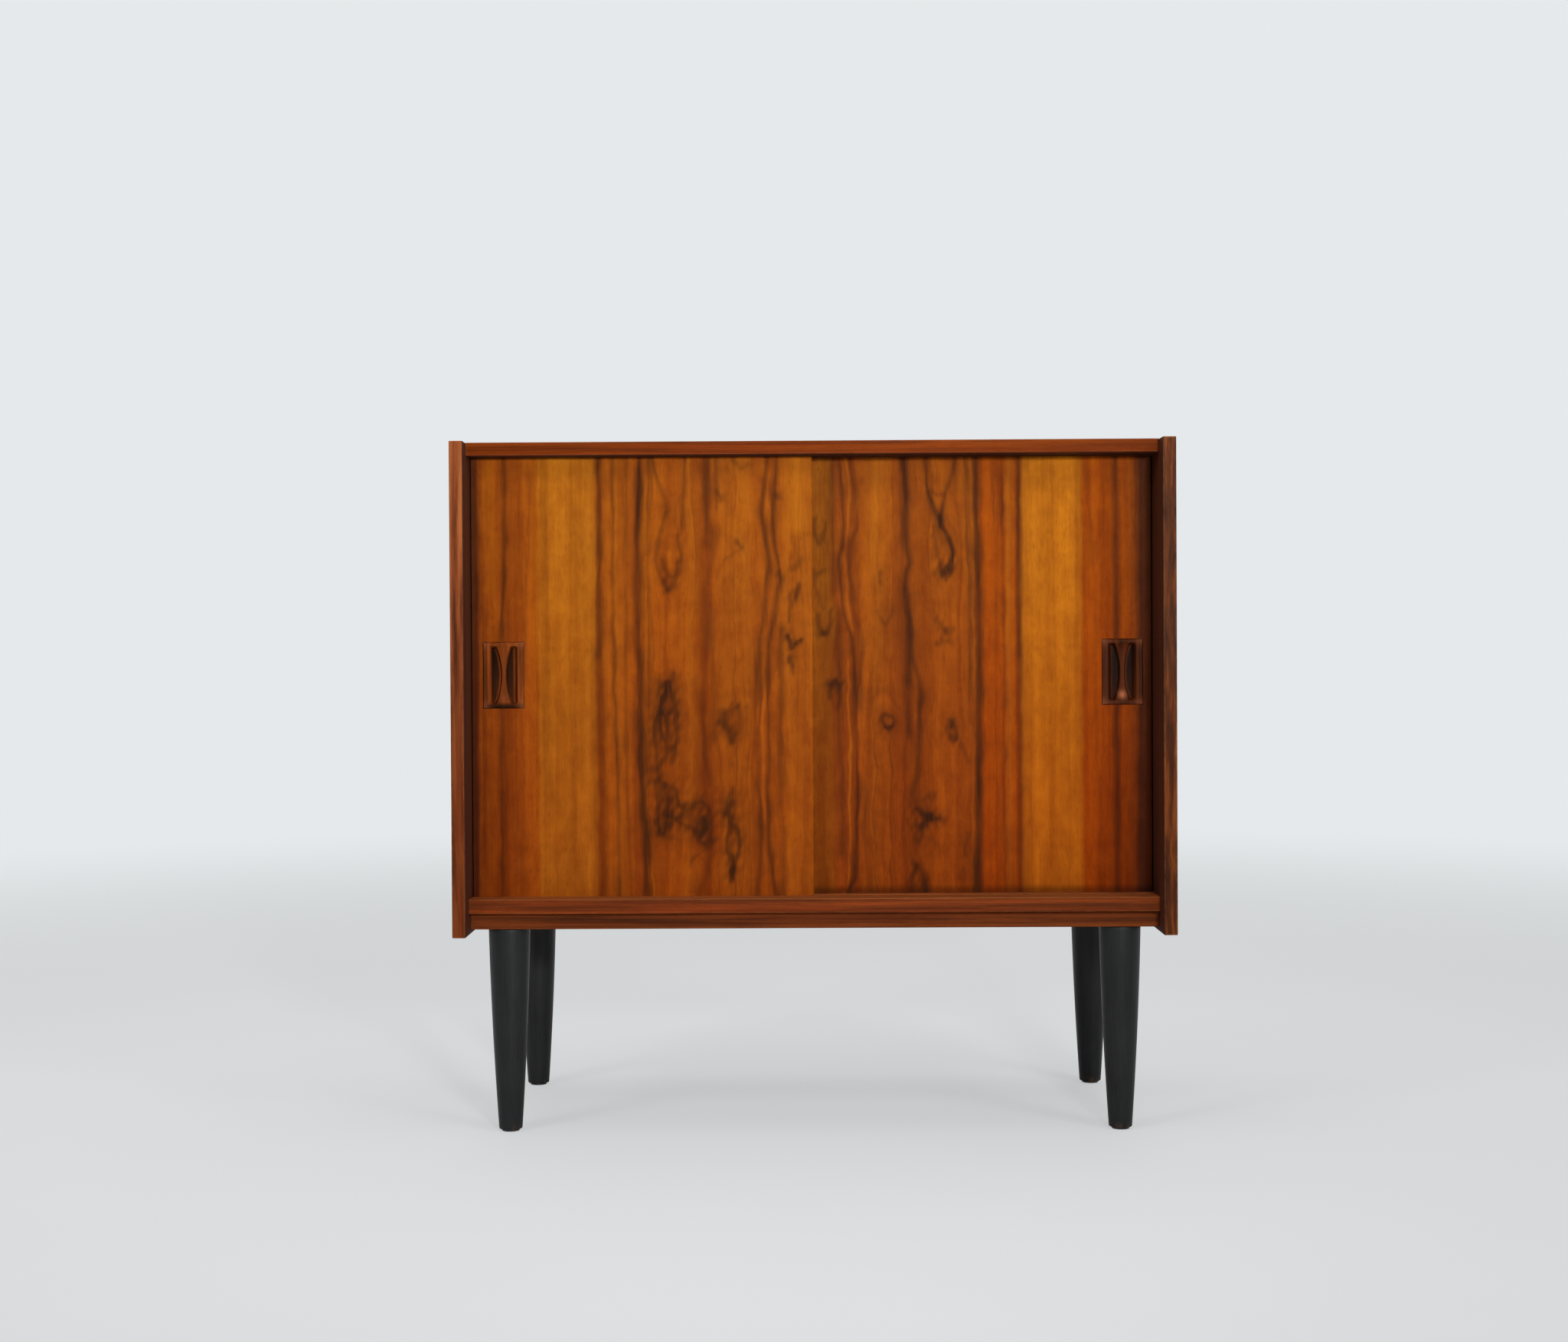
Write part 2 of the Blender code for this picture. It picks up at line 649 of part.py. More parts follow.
def build_door(side, span, face, veneer, pull_wood, nylon):
    """A sliding door: its front half runs on as tongues above and below, and a pull is let into its face."""
    slide = bpy.data.objects.new(f"{side}_door_slide", None)
    slide.location = ((span[0] + span[1]) / 2, face + DOOR_TONGUE / 2, RUNNER_LOW)
    PARTS.objects.link(slide)
    door = board(
        f"{side}_door",
        (span[0], face, DOOR_LOW),
        (span[1], face + DOOR_THICKNESS, DOOR_TOP),
        veneer,
        parent=slide,
    )
    shoulders = {
        "lower": (DOOR_LOW - CUT_MARGIN, TRACK_TOP + SHOULDER_GAP),
        "upper": (TOP_LOW - LIFT_ROOM - SHOULDER_GAP, DOOR_TOP + CUT_MARGIN),
    }
    for level, (low, high) in shoulders.items():
        rebate = box_cutter(
            f"cut_{side}_door_{level}_rebate",
            (span[0] - CUT_MARGIN, face + DOOR_TONGUE, low),
            (span[1] + CUT_MARGIN, face + DOOR_THICKNESS + CUT_MARGIN, high),
            slide,
        )
        apply_shape(door, rebate)
    centre = SIGNS[side] * PULL_CENTRE_X[side]
    mortise_half = (PULL_WIDTH / 2 + FIT_GAP, PULL_HEIGHT / 2 + FIT_GAP)
    mortise = box_cutter(
        f"cut_{side}_door_mortise",
        (centre - mortise_half[0], face - CUT_MARGIN, PULL_CENTRE_Z - mortise_half[1]),
        (
            centre + mortise_half[0],
            face - PULL_PROUD + PULL_THICKNESS + FIT_GAP,
            PULL_CENTRE_Z + mortise_half[1],
        ),
        slide,
    )
    apply_shape(door, mortise)
    build_pull(side, centre, face, pull_wood, slide)
    for hand, start in (
        ("left", span[0] + RUNNER_INSET),
        ("right", span[1] - RUNNER_INSET - RUNNER_LENGTH),
    ):
        board(
            f"{side}_door_runner_{hand}",
            (start, face + RUNNER_MARGIN, RUNNER_LOW),
            (start + RUNNER_LENGTH, face + DOOR_TONGUE - RUNNER_MARGIN, RUNNER_LOW + RUNNER_THICKNESS),
            nylon,
            joints=OUTWARD,
            parent=slide,
        )


def leg_profile():
    """Leg from the bottom of its bolt hole, up, over the top edge and down the bellied taper to the glide hole."""
    bore = BOLT_RADIUS + FIT_GAP
    bore_low = LEG_TOP - BOLT_IN_LEG - FIT_GAP
    spigot = FOOT_SPIGOT_RADIUS + FIT_GAP
    spigot_top = LEG_LOW + FOOT_SPIGOT_LENGTH + FIT_GAP
    outline = [(0, bore_low), (bore, bore_low), (bore, LEG_TOP)]
    taper_low = LEG_LOW + LEG_CHAMFER
    for ring in range(LEG_RINGS + 1):
        down = ring / LEG_RINGS
        loss = (1 - LEG_BELLY) * down + LEG_BELLY * down**2
        radius = LEG_TOP_RADIUS - (LEG_TOP_RADIUS - LEG_FOOT_RADIUS) * loss
        outline.append((radius, LEG_TOP + (taper_low - LEG_TOP) * down))
    outline.append((LEG_FOOT_RADIUS - LEG_CHAMFER, LEG_LOW))
    outline += [(spigot, LEG_LOW), (spigot, spigot_top), (0, spigot_top)]
    return outline


def build_legs(black_wood, metal, nylon):
    """Four turned legs, each on a bolt in a threaded insert, with a glide under its foot."""
    insert_low = LEG_HEIGHT
    insert_top = LEG_HEIGHT + INSERT_LENGTH
    bore = BOLT_RADIUS + FIT_GAP
    insert_profile = [
        (bore, insert_top),
        (INSERT_RADIUS, insert_top),
        (INSERT_RADIUS, insert_low),
        (bore, insert_low),
        (bore, insert_top),
    ]
    bolt_top = LEG_HEIGHT + BOLT_IN_INSERT
    bolt_low = LEG_TOP - BOLT_IN_LEG
    bolt_profile = [(0, bolt_top), (BOLT_RADIUS, bolt_top), (BOLT_RADIUS, bolt_low), (0, bolt_low)]
    spigot_top = LEG_LOW + FOOT_SPIGOT_LENGTH
    glide_profile = [
        (0, spigot_top),
        (FOOT_SPIGOT_RADIUS, spigot_top),
        (FOOT_SPIGOT_RADIUS, FOOT_GLIDE_THICKNESS),
        (FOOT_GLIDE_RADIUS, FOOT_GLIDE_THICKNESS),
        (FOOT_GLIDE_RADIUS, 0),
        (0, 0),
    ]
    for row, y in LEG_Y.items():
        for side, sign in SIGNS.items():
            place = (sign * LEG_X, y, 0)
            turned(f"{row}_{side}_leg", leg_profile(), place, black_wood, LEG_SIDES)
            turned(f"{row}_{side}_leg_bolt", bolt_profile, place, metal)
            turned(f"{row}_{side}_leg_insert", insert_profile, place, metal)
            turned(f"{row}_{side}_foot_glide", glide_profile, place, nylon, LEG_SIDES)


def build_cabinet():
    veneer = surface("rosewood_veneer", (0.31, 0.10, 0.016), 0.42)
    solid = surface("rosewood_lipping", (0.20, 0.060, 0.020), 0.45)
    pull_wood = surface("dark_rosewood", (0.075, 0.022, 0.008), 0.35)
    black_wood = surface("black_stained_wood", (0.012, 0.012, 0.013), 0.38)
    plywood = surface("back_plywood", (0.24, 0.11, 0.040), 0.60)
    nylon = surface("dark_nylon", (0.020, 0.019, 0.018), 0.50)
    steel = surface("zinc_plated_steel", (0.55, 0.54, 0.50), 0.35, 1.0)
    brass = surface("brass_pins", (0.60, 0.42, 0.16), 0.35, 1.0)

    panels = dict(build_sides(veneer, solid))
    build_top(veneer, solid)
    bottom = build_bottom(veneer, solid)
    track = build_track(solid)
    screw_track(track, bottom, steel)
    build_back(plywood, panels, steel)
    build_partition(veneer, solid)
    build_shelves(veneer, solid, brass)
    build_door("left", (-DOOR_OUTER, 0.0), FRONT_DOOR_FACE, veneer, pull_wood, nylon)
    build_door("right", (-DOOR_OVERLAP, DOOR_OUTER), REAR_DOOR_FACE, veneer, pull_wood, nylon)
    build_legs(black_wood, steel, nylon)


start_clean()
PARTS = new_collection("stereo_cabinet")
CUTTERS = new_collection("stereo_cabinet_cutters")
build_cabinet()
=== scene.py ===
"""Looks of the stereo cabinet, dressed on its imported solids.

Metres, +Z up, the front faces -Y. Boards keep their solids and get wood finishes. Doors, pulls, legs and
screws are surfaces worked out as whole arrays, and stand for their solids.
"""

import math

import bmesh
import bpy
import numpy as np
from mathutils import Matrix, Vector


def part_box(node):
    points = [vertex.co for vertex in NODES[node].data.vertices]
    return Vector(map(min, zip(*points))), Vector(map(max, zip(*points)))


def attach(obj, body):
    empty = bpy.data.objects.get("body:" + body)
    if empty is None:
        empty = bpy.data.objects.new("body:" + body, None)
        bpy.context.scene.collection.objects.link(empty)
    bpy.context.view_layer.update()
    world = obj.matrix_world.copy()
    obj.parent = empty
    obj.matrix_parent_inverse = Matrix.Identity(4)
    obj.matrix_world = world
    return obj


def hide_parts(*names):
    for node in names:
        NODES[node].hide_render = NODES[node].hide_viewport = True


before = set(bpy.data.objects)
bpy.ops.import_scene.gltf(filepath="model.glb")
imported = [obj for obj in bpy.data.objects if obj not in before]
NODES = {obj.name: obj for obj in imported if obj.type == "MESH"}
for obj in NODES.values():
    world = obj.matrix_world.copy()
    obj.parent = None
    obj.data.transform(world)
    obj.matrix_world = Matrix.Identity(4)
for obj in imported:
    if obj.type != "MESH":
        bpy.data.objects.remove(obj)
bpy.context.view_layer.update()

SIGNS = {"left": -1, "right": 1}
# Edges that turn by more degrees than this aren't smoothed
SHARP = {"door_veneer": 30, "pull_wood": 35, "leg_black": 40, "steel": 30}

# Doors
DOOR_EASE = 0.0008
DOOR_TONGUE = 0.008
LOWER_SHOULDER = 0.2833
UPPER_SHOULDER = 0.7995
FIGURED_WIDTH = 0.215  # the half of a door with knots and wavy veins
FIGURED_PITCH = 0.00108
STRIPED_PITCH = 0.0016
UPRIGHT_PITCH = 0.0019
MORTISE_PLAY = 0.0003
MORTISE_DEPTH = 0.012
WALL_STEP = 0.00002  # width of a wall that the face grid drops down
WALL_CLEAR = 0.0004

# Pulls
PULL_PITCH = 0.0005
PULL_RIM = 0.007
PULL_END_RIM = 0.0042
PULL_ROUND = 0.0012
HOLLOW_DEPTH = 0.0095
HOLLOW_SLOPE = 0.0050  # reach of its outer slope
HOLLOW_END = 0.0036
RIB_WALL = 0.0030
RIB_WAIST = 0.0020
RIB_END_WIDTH = 0.016
RIB_ROUND = 0.0024
RIB_DIP = 0.0032
HOLLOW_SHADE_SHIFT = 0.0032  # painted shade in the hollows, moved this far towards the cabinet's side
HOLLOW_SHADE_SHARES = (0.58, 0.30, 0.14)  # painted shade in the hollows: all over, more towards the cabinet's side, more towards the top
SIDE_RIM_SHADE = 0.57  # painted shade on the rim nearer the cabinet's side
PULL_FOOT_SHADE_AND_HIGHLIGHT = {"left": (0.80, 0.12), "right": (0.10, 1.0)}  # painted shade along its foot, painted highlight on the rib's foot
RIB_HIGHLIGHT = (0.78, 0.0042, 0.0046)  # where the painted highlight on the rib lies: share of the way down, half width, half height
# Pale corners of a pull: painted highlight, partly wear
CORNER_HIGHLIGHT_AND_WEAR = 0.34

# Legs
LEG_SIDES = 72
LEG_RINGS = 60
LEG_BELLY = 0.5
LEG_TOP_RADIUS = 0.0248
LEG_FOOT_RADIUS = 0.0140
LEG_ARRIS = 0.0014
LEG_ARRIS_STEPS = 6

# Screws
HEAD_STEPS = 41
HEAD_LAND = 0.0011  # the head's straight edge, deeper than the slot
HEAD_DEPTH = 0.002
SLOT_HALF = 0.00035
SLOT_DEPTH = 0.0009
SHANK_SHARE = 0.52  # of the head's radius
TIP_SHARE = 0.06
TIP_LENGTH = 0.003

# Viewpoint, floor and light
CAMERA_PLACE = (-0.012, -2.726, 0.582)
CAMERA_ANGLES = (-0.5, 0.69, -0.319)  # turn, tip and roll in degrees
CAMERA_LENS = 49.6
SENSOR_WIDTH = 36.0
WHITE = (255, 255, 255)
BACKDROP_TINT = (230, 233, 235)
SURROUND_LIGHT = 0.16
FLOOR_TINT = (238, 239, 240)
FLOOR_TINT_WARM = (234, 234, 233)
FLOOR_ROUGH = 0.9
FLOOR_LEVEL = -0.0002
FLOOR_RADIUS = 4.5
FLOOR_RINGS = ((0.05, 2.0, 14), (2.3, FLOOR_RADIUS, 14))  # from one radius to another, and how many
FLOOR_SIDES = 96
FLOOR_FADE = (1.3, 0.97 * FLOOR_RADIUS)
FLOOR_GLOW = 0.56  # share of the backdrop's own paleness in the floor that the camera sees
# Name, place, point it faces, width and height, power, angle that its light fans out
SOFTBOXES = (
    ("key_softbox", (0.60, -2.72, 0.98), (-0.20, -0.1, 0.92), (0.30, 0.22), 7.0, 60),
    ("left_softbox", (-2.3, -2.3, 2.5), (0.0, 0.0, 0.2), (0.8, 0.8), 21.0, 180),
    ("right_softbox", (2.3, -2.3, 2.5), (0.0, 0.0, 0.2), (0.8, 0.8), 21.0, 180),
    ("overhead_softbox", (0.0, 0.3, 3.2), (0.0, 0.3, 0.0), (3.0, 3.0), 44.0, 180),
)

# Tones of the doors' rosewood
WOOD = {
    "gold": (178, 102, 13),
    "honey": (158, 90, 15),
    "amber": (148, 77, 10),
    "olive": (134, 72, 8),
    "chestnut": (143, 70, 8),
    "russet": (151, 67, 1),
    "auburn": (137, 65, 10),
    "umber": (131, 61, 8),
    "deep": (112, 50, 8),
    # darker veneer at a door's outer end, partly painted shade from the side panel
    "heart_and_shade": (76, 35, 12),
}

# Tones of the boards, by the value of a noise
SIDE_TONES = (
    (0.28, (66, 30, 14)), (0.36, (112, 50, 17)), (0.46, (138, 64, 19)),
    (0.56, (154, 78, 24)), (0.66, (172, 98, 30)), (0.76, (132, 58, 18)),
)
LIPPING_TONES = {
    "left": (
        (0.28, (72, 34, 19)), (0.40, (122, 62, 31)), (0.52, (150, 82, 42)),
        (0.64, (168, 98, 51)), (0.76, (128, 64, 33)),
    ),
    "right": (
        (0.32, (40, 23, 16)), (0.44, (78, 44, 27)), (0.54, (104, 56, 28)),
        (0.62, (148, 84, 38)), (0.76, (88, 46, 26)),
    ),
}
TOP_LIPPING_TONES = (
    (0.30, (62, 24, 3)), (0.40, (92, 37, 3)), (0.52, (110, 45, 3)),
    (0.62, (119, 49, 3)), (0.74, (92, 37, 3)),
)
TRACK_TONES = (
    (0.30, (77, 35, 14)), (0.40, (98, 44, 16)), (0.50, (117, 52, 19)),
    (0.58, (131, 57, 20)), (0.66, (147, 68, 25)), (0.76, (94, 41, 15)),
)
BOTTOM_TONES = (
    (0.30, (72, 34, 15)), (0.42, (96, 45, 18)), (0.52, (114, 54, 21)),
    (0.62, (126, 61, 24)), (0.74, (88, 40, 17)),
)
PLYWOOD_TONES = (
    (0.30, (120, 76, 44)), (0.48, (150, 100, 60)), (0.62, (164, 112, 70)), (0.76, (140, 92, 54)),
)

# Other colours
VEIN_TINT = (51, 24, 7)
# Pale worn edges; also painted light on the track's top face
WORN_AND_LIT_TINT = (176, 112, 62)
# Dark inside faces, partly a darker stain and partly painted shade; painted shade under the top and its
# lipping
INSIDE_TINT = (58, 34, 27)
PULL_TINTS = {"left": ((82, 39, 15), (138, 66, 22)), "right": ((52, 24, 11), (98, 45, 18))}
# Painted shade in the pulls' hollows
HOLLOW_SHADE_TINT = (15, 9, 5)
# Painted highlight, partly wear, on the pulls' corners and the rib's foot
HIGHLIGHT_AND_WEAR_TINT = (174, 102, 66)
LEG_TINTS = ((21, 22, 23), (32, 33, 34))  # between its fibres, and on them
LEG_CLOUD_TINT = (40, 41, 42)
LEG_SCUFF_TINT = (92, 66, 46)
BRASS_TINTS = ((196, 158, 84), (150, 112, 58))  # bright, and in dull patches
STEEL_TINTS = ((190, 188, 180), (140, 138, 132))
NYLON_TINTS = ((38, 36, 34), (56, 53, 50))

# Painted shade on upright wood, darker towards the foot, partly its own deeper tone:
# from one height, to another, and what is kept of the light there
FOOT_SHADE = (0.80, 0.34, (243, 224, 232))
DOOR_SHADES = {
    "left": (FOOT_SHADE,),
    # The right door's second shade is a painted shadow along its foot, behind the track
    "right": ((0.80, 0.34, (238, 213, 222)), (0.2945, 0.2840, (180, 178, 184))),
}
LIPPING_SHADES = {"left": (0.72, 0.34, (184, 164, 152)), "right": (0.62, 0.40, (208, 196, 192))}

# Noises: repeats in a metre (across, through and along the grain), detail, roughness, and some with a bend
NOISE_REACH = (0.3, 0.7)  # where nearly all of a noise lies
STREAKS = ((55, 55, 1.1), 7.0, 0.68)
FIBRES = ((2600, 2600, 42), 2.0, 0.5)
PORES = ((1500, 1500, 75), 2.0, 0.55)
LINES = ((240, 240, 0.9), 3.0, 0.6)
LINE_CLUSTERS = ((16, 16, 0.6), 2.0, 0.5)
SHIMMER = ((45, 1, 150), 2.0, 0.5)
CLOUDS = ((24, 1, 9), 3.0, 0.6)
MOTTLE = ((62, 1, 34), 3.0, 0.62, 0.3)
RAGGED_VEINS = ((300, 1, 18), 4.0, 0.65)
BOARD_WANDER = ((9, 9, 2.2), 2.0, 0.5)
BOARD_BANDS = (4.0, 0.62)
WORN_PATCHES = ((70, 70, 70), 3.0, 0.6)
PULL_BANDS = ((140, 140, 9), 3.0, 0.6, 0.4)
LEG_GRAIN = ((420, 420, 9), 4.0, 0.6)
LEG_CLOUDS = ((22, 22, 14), 3.0, 0.6)
LEG_SCUFFS = ((160, 160, 60), 3.0, 0.7)
METAL_PATCHES = ((260, 260, 260), 3.0, 0.6)
METAL_SCRATCHES = (3.0, 0.6)
BRASS_BRUSHING = (900, 60, 60)
STEEL_BRUSHING = (60, 60, 900)
NYLON_SPECKS = ((1400, 1400, 1400), 2.0, 0.5)
NYLON_CLOUDS = ((120, 120, 120), 3.0, 0.6)
FLOOR_CLOUDS = ((3, 3, 3), 3.0, 0.5)

# What the noises do: least and most light, or the ends of a noise and the shares given there
STREAK_LIGHT = {"Red": (0.70, 1.30), "Green": (0.60, 1.38), "Blue": (0.60, 1.38)}
MOTTLE_LIGHT = {"Red": (0.86, 1.14), "Green": (0.80, 1.20), "Blue": (0.80, 1.20)}
FIBRE_LIGHT = (0.94, 1.06)
SHIMMER_LIGHT = (0.48, 0.53)
CLOUD_LIGHT = (0.415, 0.575)
RAGGED_SHARES = (0.78, 1.14)
PORE_ENDS = (0.58, 0.70)
PORE_DARKNESS = 0.34
LINE_ENDS = (0.52, 0.72, 0.0, 0.42)
CLUSTER_ENDS = (0.42, 0.64)
WORN_ENDS = (0.40, 0.66, 0.15, 1.0)
CLOUD_ENDS = (0.35, 0.7)
SCUFF_ENDS = (0.48, 0.62)
LEG_CLOUD_SHARE = 0.35
LEG_SCUFF_SHARE = 0.6
LEG_SCUFF_HEIGHTS = (0.002, 0.010)
PULL_BAND_ENDS = (0.32, 0.68)
PULL_LINE_SHARE = 0.5
# Reach of the painted shade in the pulls' hollows
HOLLOW_SHADE_ENDS = (0.16, 0.90, 0.0, 0.94)

# Boards: finish, grain's direction, tones, shift of the figure that tells them apart, and what else differs
PANEL_BANDS = {"pitch": 24.0}
FRONT_BANDS = {"pitch": 150.0, "run": 2.6, "wear": 0.16}
SIDE_BANDS = {"left": {"pitch": 95.0, "run": 5.0}, "right": {"pitch": 95.0, "run": 9.0}}
BOARDS = {
    # The faces below the top and its lipping get painted shade; the track's face above gets painted light
    "top_panel": ("top_veneer", "x", SIDE_TONES, 0.55, {"face": "below", **PANEL_BANDS}),
    "top_lipping": ("top_edge", "x", TOP_LIPPING_TONES, 0.2, {"face": "below", **FRONT_BANDS}),
    "bottom_panel": ("bottom_veneer", "x", BOTTOM_TONES, 1.1, {}),
    "bottom_lipping": ("bottom_edge", "x", BOTTOM_TONES, 0.6, FRONT_BANDS),
    "door_track": ("track_wood", "x", TRACK_TONES, 0.37, {"face": "above", **FRONT_BANDS}),
    "centre_partition": ("partition_veneer", "z", SIDE_TONES, 1.7, {}),
    "partition_lipping": ("partition_edge", "z", TOP_LIPPING_TONES, 1.3, {}),
    "back_panel": ("back_plywood", "z", PLYWOOD_TONES, 2.1, {"wear": 0.2}),
}
for side, sign in SIGNS.items():
    panel = {"face": "inside", **PANEL_BANDS}
    edge = {"face": "inside", "shade": LIPPING_SHADES[side], **SIDE_BANDS[side]}
    BOARDS |= {
        f"{side}_side_panel": (f"{side}_side_veneer", "z", SIDE_TONES, 0.31 * sign, panel),
        f"{side}_side_lipping": (f"{side}_side_edge", "z", LIPPING_TONES[side], 0.7 * sign, edge),
        f"{side}_shelf": (f"{side}_shelf_veneer", "x", SIDE_TONES, 0.9 * sign, {}),
        f"{side}_shelf_lipping": (f"{side}_shelf_edge", "x", TOP_LIPPING_TONES, 0.4 * sign, {}),
    }
BOARD_BEND = 0.030
EDGE_REACH = 0.0022
FACE_REACH = (0.0004, 0.0012)
# Inside faces darker, partly stain and partly painted shade; below, painted shade; above, painted light
FACES = {"inside": (0.90, INSIDE_TINT), "below": (0.90, INSIDE_TINT), "above": (0.26, WORN_AND_LIT_TINT)}

# Surface of each finish: roughness, relief and gloss
LACQUER_ROUGH = (-0.6, 0.8, 0.66, 0.50)  # from open pores to raised fibres
LACQUER_RELIEF = 0.00006
DOOR_GLOSS = 0.03
BOARD_GLOSS = 0.04
PULL_ROUGH = (0.40, 0.52)
PULL_RELIEF = 0.00005
PULL_GLOSS = 0.03
LEG_ROUGH = (0.34, 0.46)
LEG_RELIEF = 0.00005
LEG_GLOSS = 0.22
BRASS_ROUGH = 0.26
STEEL_ROUGH = 0.30
METAL_DULLING = 0.2
METAL_SCRATCH_ROUGH = (-0.05, 0.05)
METAL_RELIEF = 0.00002
NYLON_ROUGH = (0.42, 0.58)
NYLON_RELIEF = 0.00003

# Unevenness of the veneer: size, millimetres across and along, and which draw
UNEVEN = {
    "wander": ((2.2, 60, 260, 0), (1.5, 18, 70, 1), (0.7, 9, 26, 6)),
    "bend": ((0.7, 20, 60, 2), (0.4, 7, 20, 3)),
    "lift": ((1.4, 24, 40, 4),),
    "strength": ((0.25, 70, 110, 5),),
    "swell": ((0.30, 26, 44, 7),),
    "blot": ((0.34, 9, 13, 8),),
}
DRIFT_WAVES = 7
CALM_START, CALM_REACH, CALM_LEAST = 1.25, 330, 0.35  # growth wanders less towards the striped half
KNOT_REACH = (2.2, 1.7)  # of its half width and half height
KNOT_PARTING = 0.7
VEIN_STRENGTH = 1.12
VEIN_SPREAD = 1.25
VEIN_CORE = 0.82  # share of a vein's darkness that its core has
VEIN_FLANK = 3
VEIN_FADE = 12
DARKEST = 0.95
SWELL_LIMITS = (0.5, 1.6)
BLOT_MEAN = 1.05
BLOT_LIMITS = (0.5, 1.8)
PATH_STEPS = 5
DOOR_SEEDS = {"left": 11, "right": 23}

# Veneer stripes: millimetres out from the cabinet's middle, and the tone there. The last, darkest tone at
# the outer end is partly painted shade from the side panel
STRIPE_SPAN = (-12, 410)
LEFT_STRIPES = (
    (-12, "amber"), (30, "amber"), (40, "chestnut"), (66, "chestnut"), (78, "amber"), (104, "amber"),
    (120, "chestnut"), (128, "umber"), (136, "chestnut"), (146, "amber"), (156, "chestnut"),
    (186, "chestnut"), (197, "amber"), (203, "umber"), (211, "umber"), (216, "chestnut"), (234, "amber"),
    (241, "chestnut"), (248, "amber"), (255, "umber"), (261, "honey"), (326, "honey"), (331, "chestnut"),
    (361, "auburn"), (368, "umber"), (375, "auburn"), (381, "chestnut"), (390, "auburn"), (397, "auburn"),
    (402, "heart_and_shade"),
)
RIGHT_STRIPES = (
    (-12, "olive"), (20, "olive"), (27, "umber"), (52, "umber"), (60, "chestnut"), (76, "amber"),
    (96, "chestnut"), (112, "umber"), (124, "chestnut"), (136, "chestnut"), (188, "chestnut"),
    (194, "amber"), (200, "umber"), (206, "russet"), (229, "russet"), (236, "amber"), (243, "russet"),
    (248, "umber"), (254, "gold"), (321, "gold"), (326, "russet"), (358, "russet"), (366, "deep"),
    (372, "russet"), (386, "umber"), (395, "heart_and_shade"),
)

# Knots that part the grain: place out from the middle, height, half width, half height, millimetres
LEFT_KNOTS = (
    (173, 685, 14, 44), (97, 490, 9, 20), (96, 338, 8, 36), (176, 484, 12, 46),
    (180, 388, 9, 30), (131, 366, 9, 18),
)
RIGHT_KNOTS = (
    (159, 693, 10, 32), (89, 489, 8, 10), (170, 478, 7, 14), (13, 610, 8, 20),
    (130, 368, 9, 18), (25, 528, 6, 12),
)

# Veins: half width, darkness, and places out from the middle by height above the floor, millimetres
LEFT_VEINS = (
    (3.8, 0.72, {270: 199, 340: 201, 385: 203, 440: 206, 560: 207, 604: 208, 714: 208, 769: 206,
        820: 206}),
    (1.5, 0.34, {270: 195, 470: 197, 640: 196, 700: 196, 820: 195}),
    (2.3, 0.46, {742: 174.5, 752: 175, 771: 181, 795: 189, 820: 193}),
    (3.0, 0.44, {725: 156.5, 742: 155, 770: 153, 820: 151}),
    (2.4, 0.24, {728: 165, 744: 163, 756: 160}),
    (3.6, 0.34, {420: 124, 440: 128, 460: 131, 500: 132, 540: 132, 580: 129, 610: 127, 640: 129,
        660: 127, 678: 122, 697: 118, 715: 116}),
    (4.2, 0.42, {705: 127, 715: 126, 760: 126, 820: 126.5}),
    (3.0, 0.32, {745: 113, 770: 114, 820: 114.5}),
    (3.4, 0.30, {470: 118, 520: 118.5, 560: 119, 600: 121, 630: 123}),
    (3.4, 0.32, {270: 137, 291: 135, 311: 127, 322: 126, 332: 123}),
    (2.7, 0.54, {270: 69, 315: 64.5, 342: 63.5, 394: 64, 415: 67, 452: 66, 511: 64, 575: 64, 603: 61,
        623: 58.5, 660: 54.5, 682: 52, 715: 56.5, 737: 60, 755: 59, 795: 54.5, 820: 54}),
    (2.2, 0.40, {270: 42, 300: 48, 324: 50.5, 345: 52.5, 395: 54}),
    (2.4, 0.54, {270: 42, 282: 44.5, 300: 48, 324: 50.5, 345: 52.5, 401: 54, 452: 53.5, 548: 53,
        575: 53, 597: 49, 621: 44.5, 645: 41.5, 661: 38.5, 682: 41.5, 715: 45.5, 733: 47, 751: 47,
        777: 44, 820: 42}),
    (3.4, 0.44, {270: 36, 330: 37, 368: 37, 392: 39, 452: 39, 484: 40, 520: 38, 557: 39, 600: 38}),
    (7.0, 0.14, {270: 56, 420: 60, 560: 58, 640: 50, 700: 49, 760: 52, 820: 48}),
    (3.4, 0.62, {570: 256, 640: 256, 720: 255, 820: 255}),
    (4.6, 0.22, {270: 252, 400: 253, 560: 256}),
    (2.2, 0.50, {270: 233, 385: 234, 440: 235, 604: 238, 820: 238}),
    (2.0, 0.34, {270: 219, 500: 224, 820: 221}),
    (2.2, 0.42, {270: 372, 440: 373, 604: 372, 659: 369, 714: 368, 820: 368}),
    (1.9, 0.34, {600: 372, 659: 369, 714: 368, 820: 368}),
    (1.8, 0.30, {540: 345, 604: 345, 659: 343, 714: 339, 820: 338}),
    (2.0, 0.25, {270: 396, 500: 393, 820: 396}),
    (26.0, 0.20, {350: 158, 440: 162, 540: 166}),
)
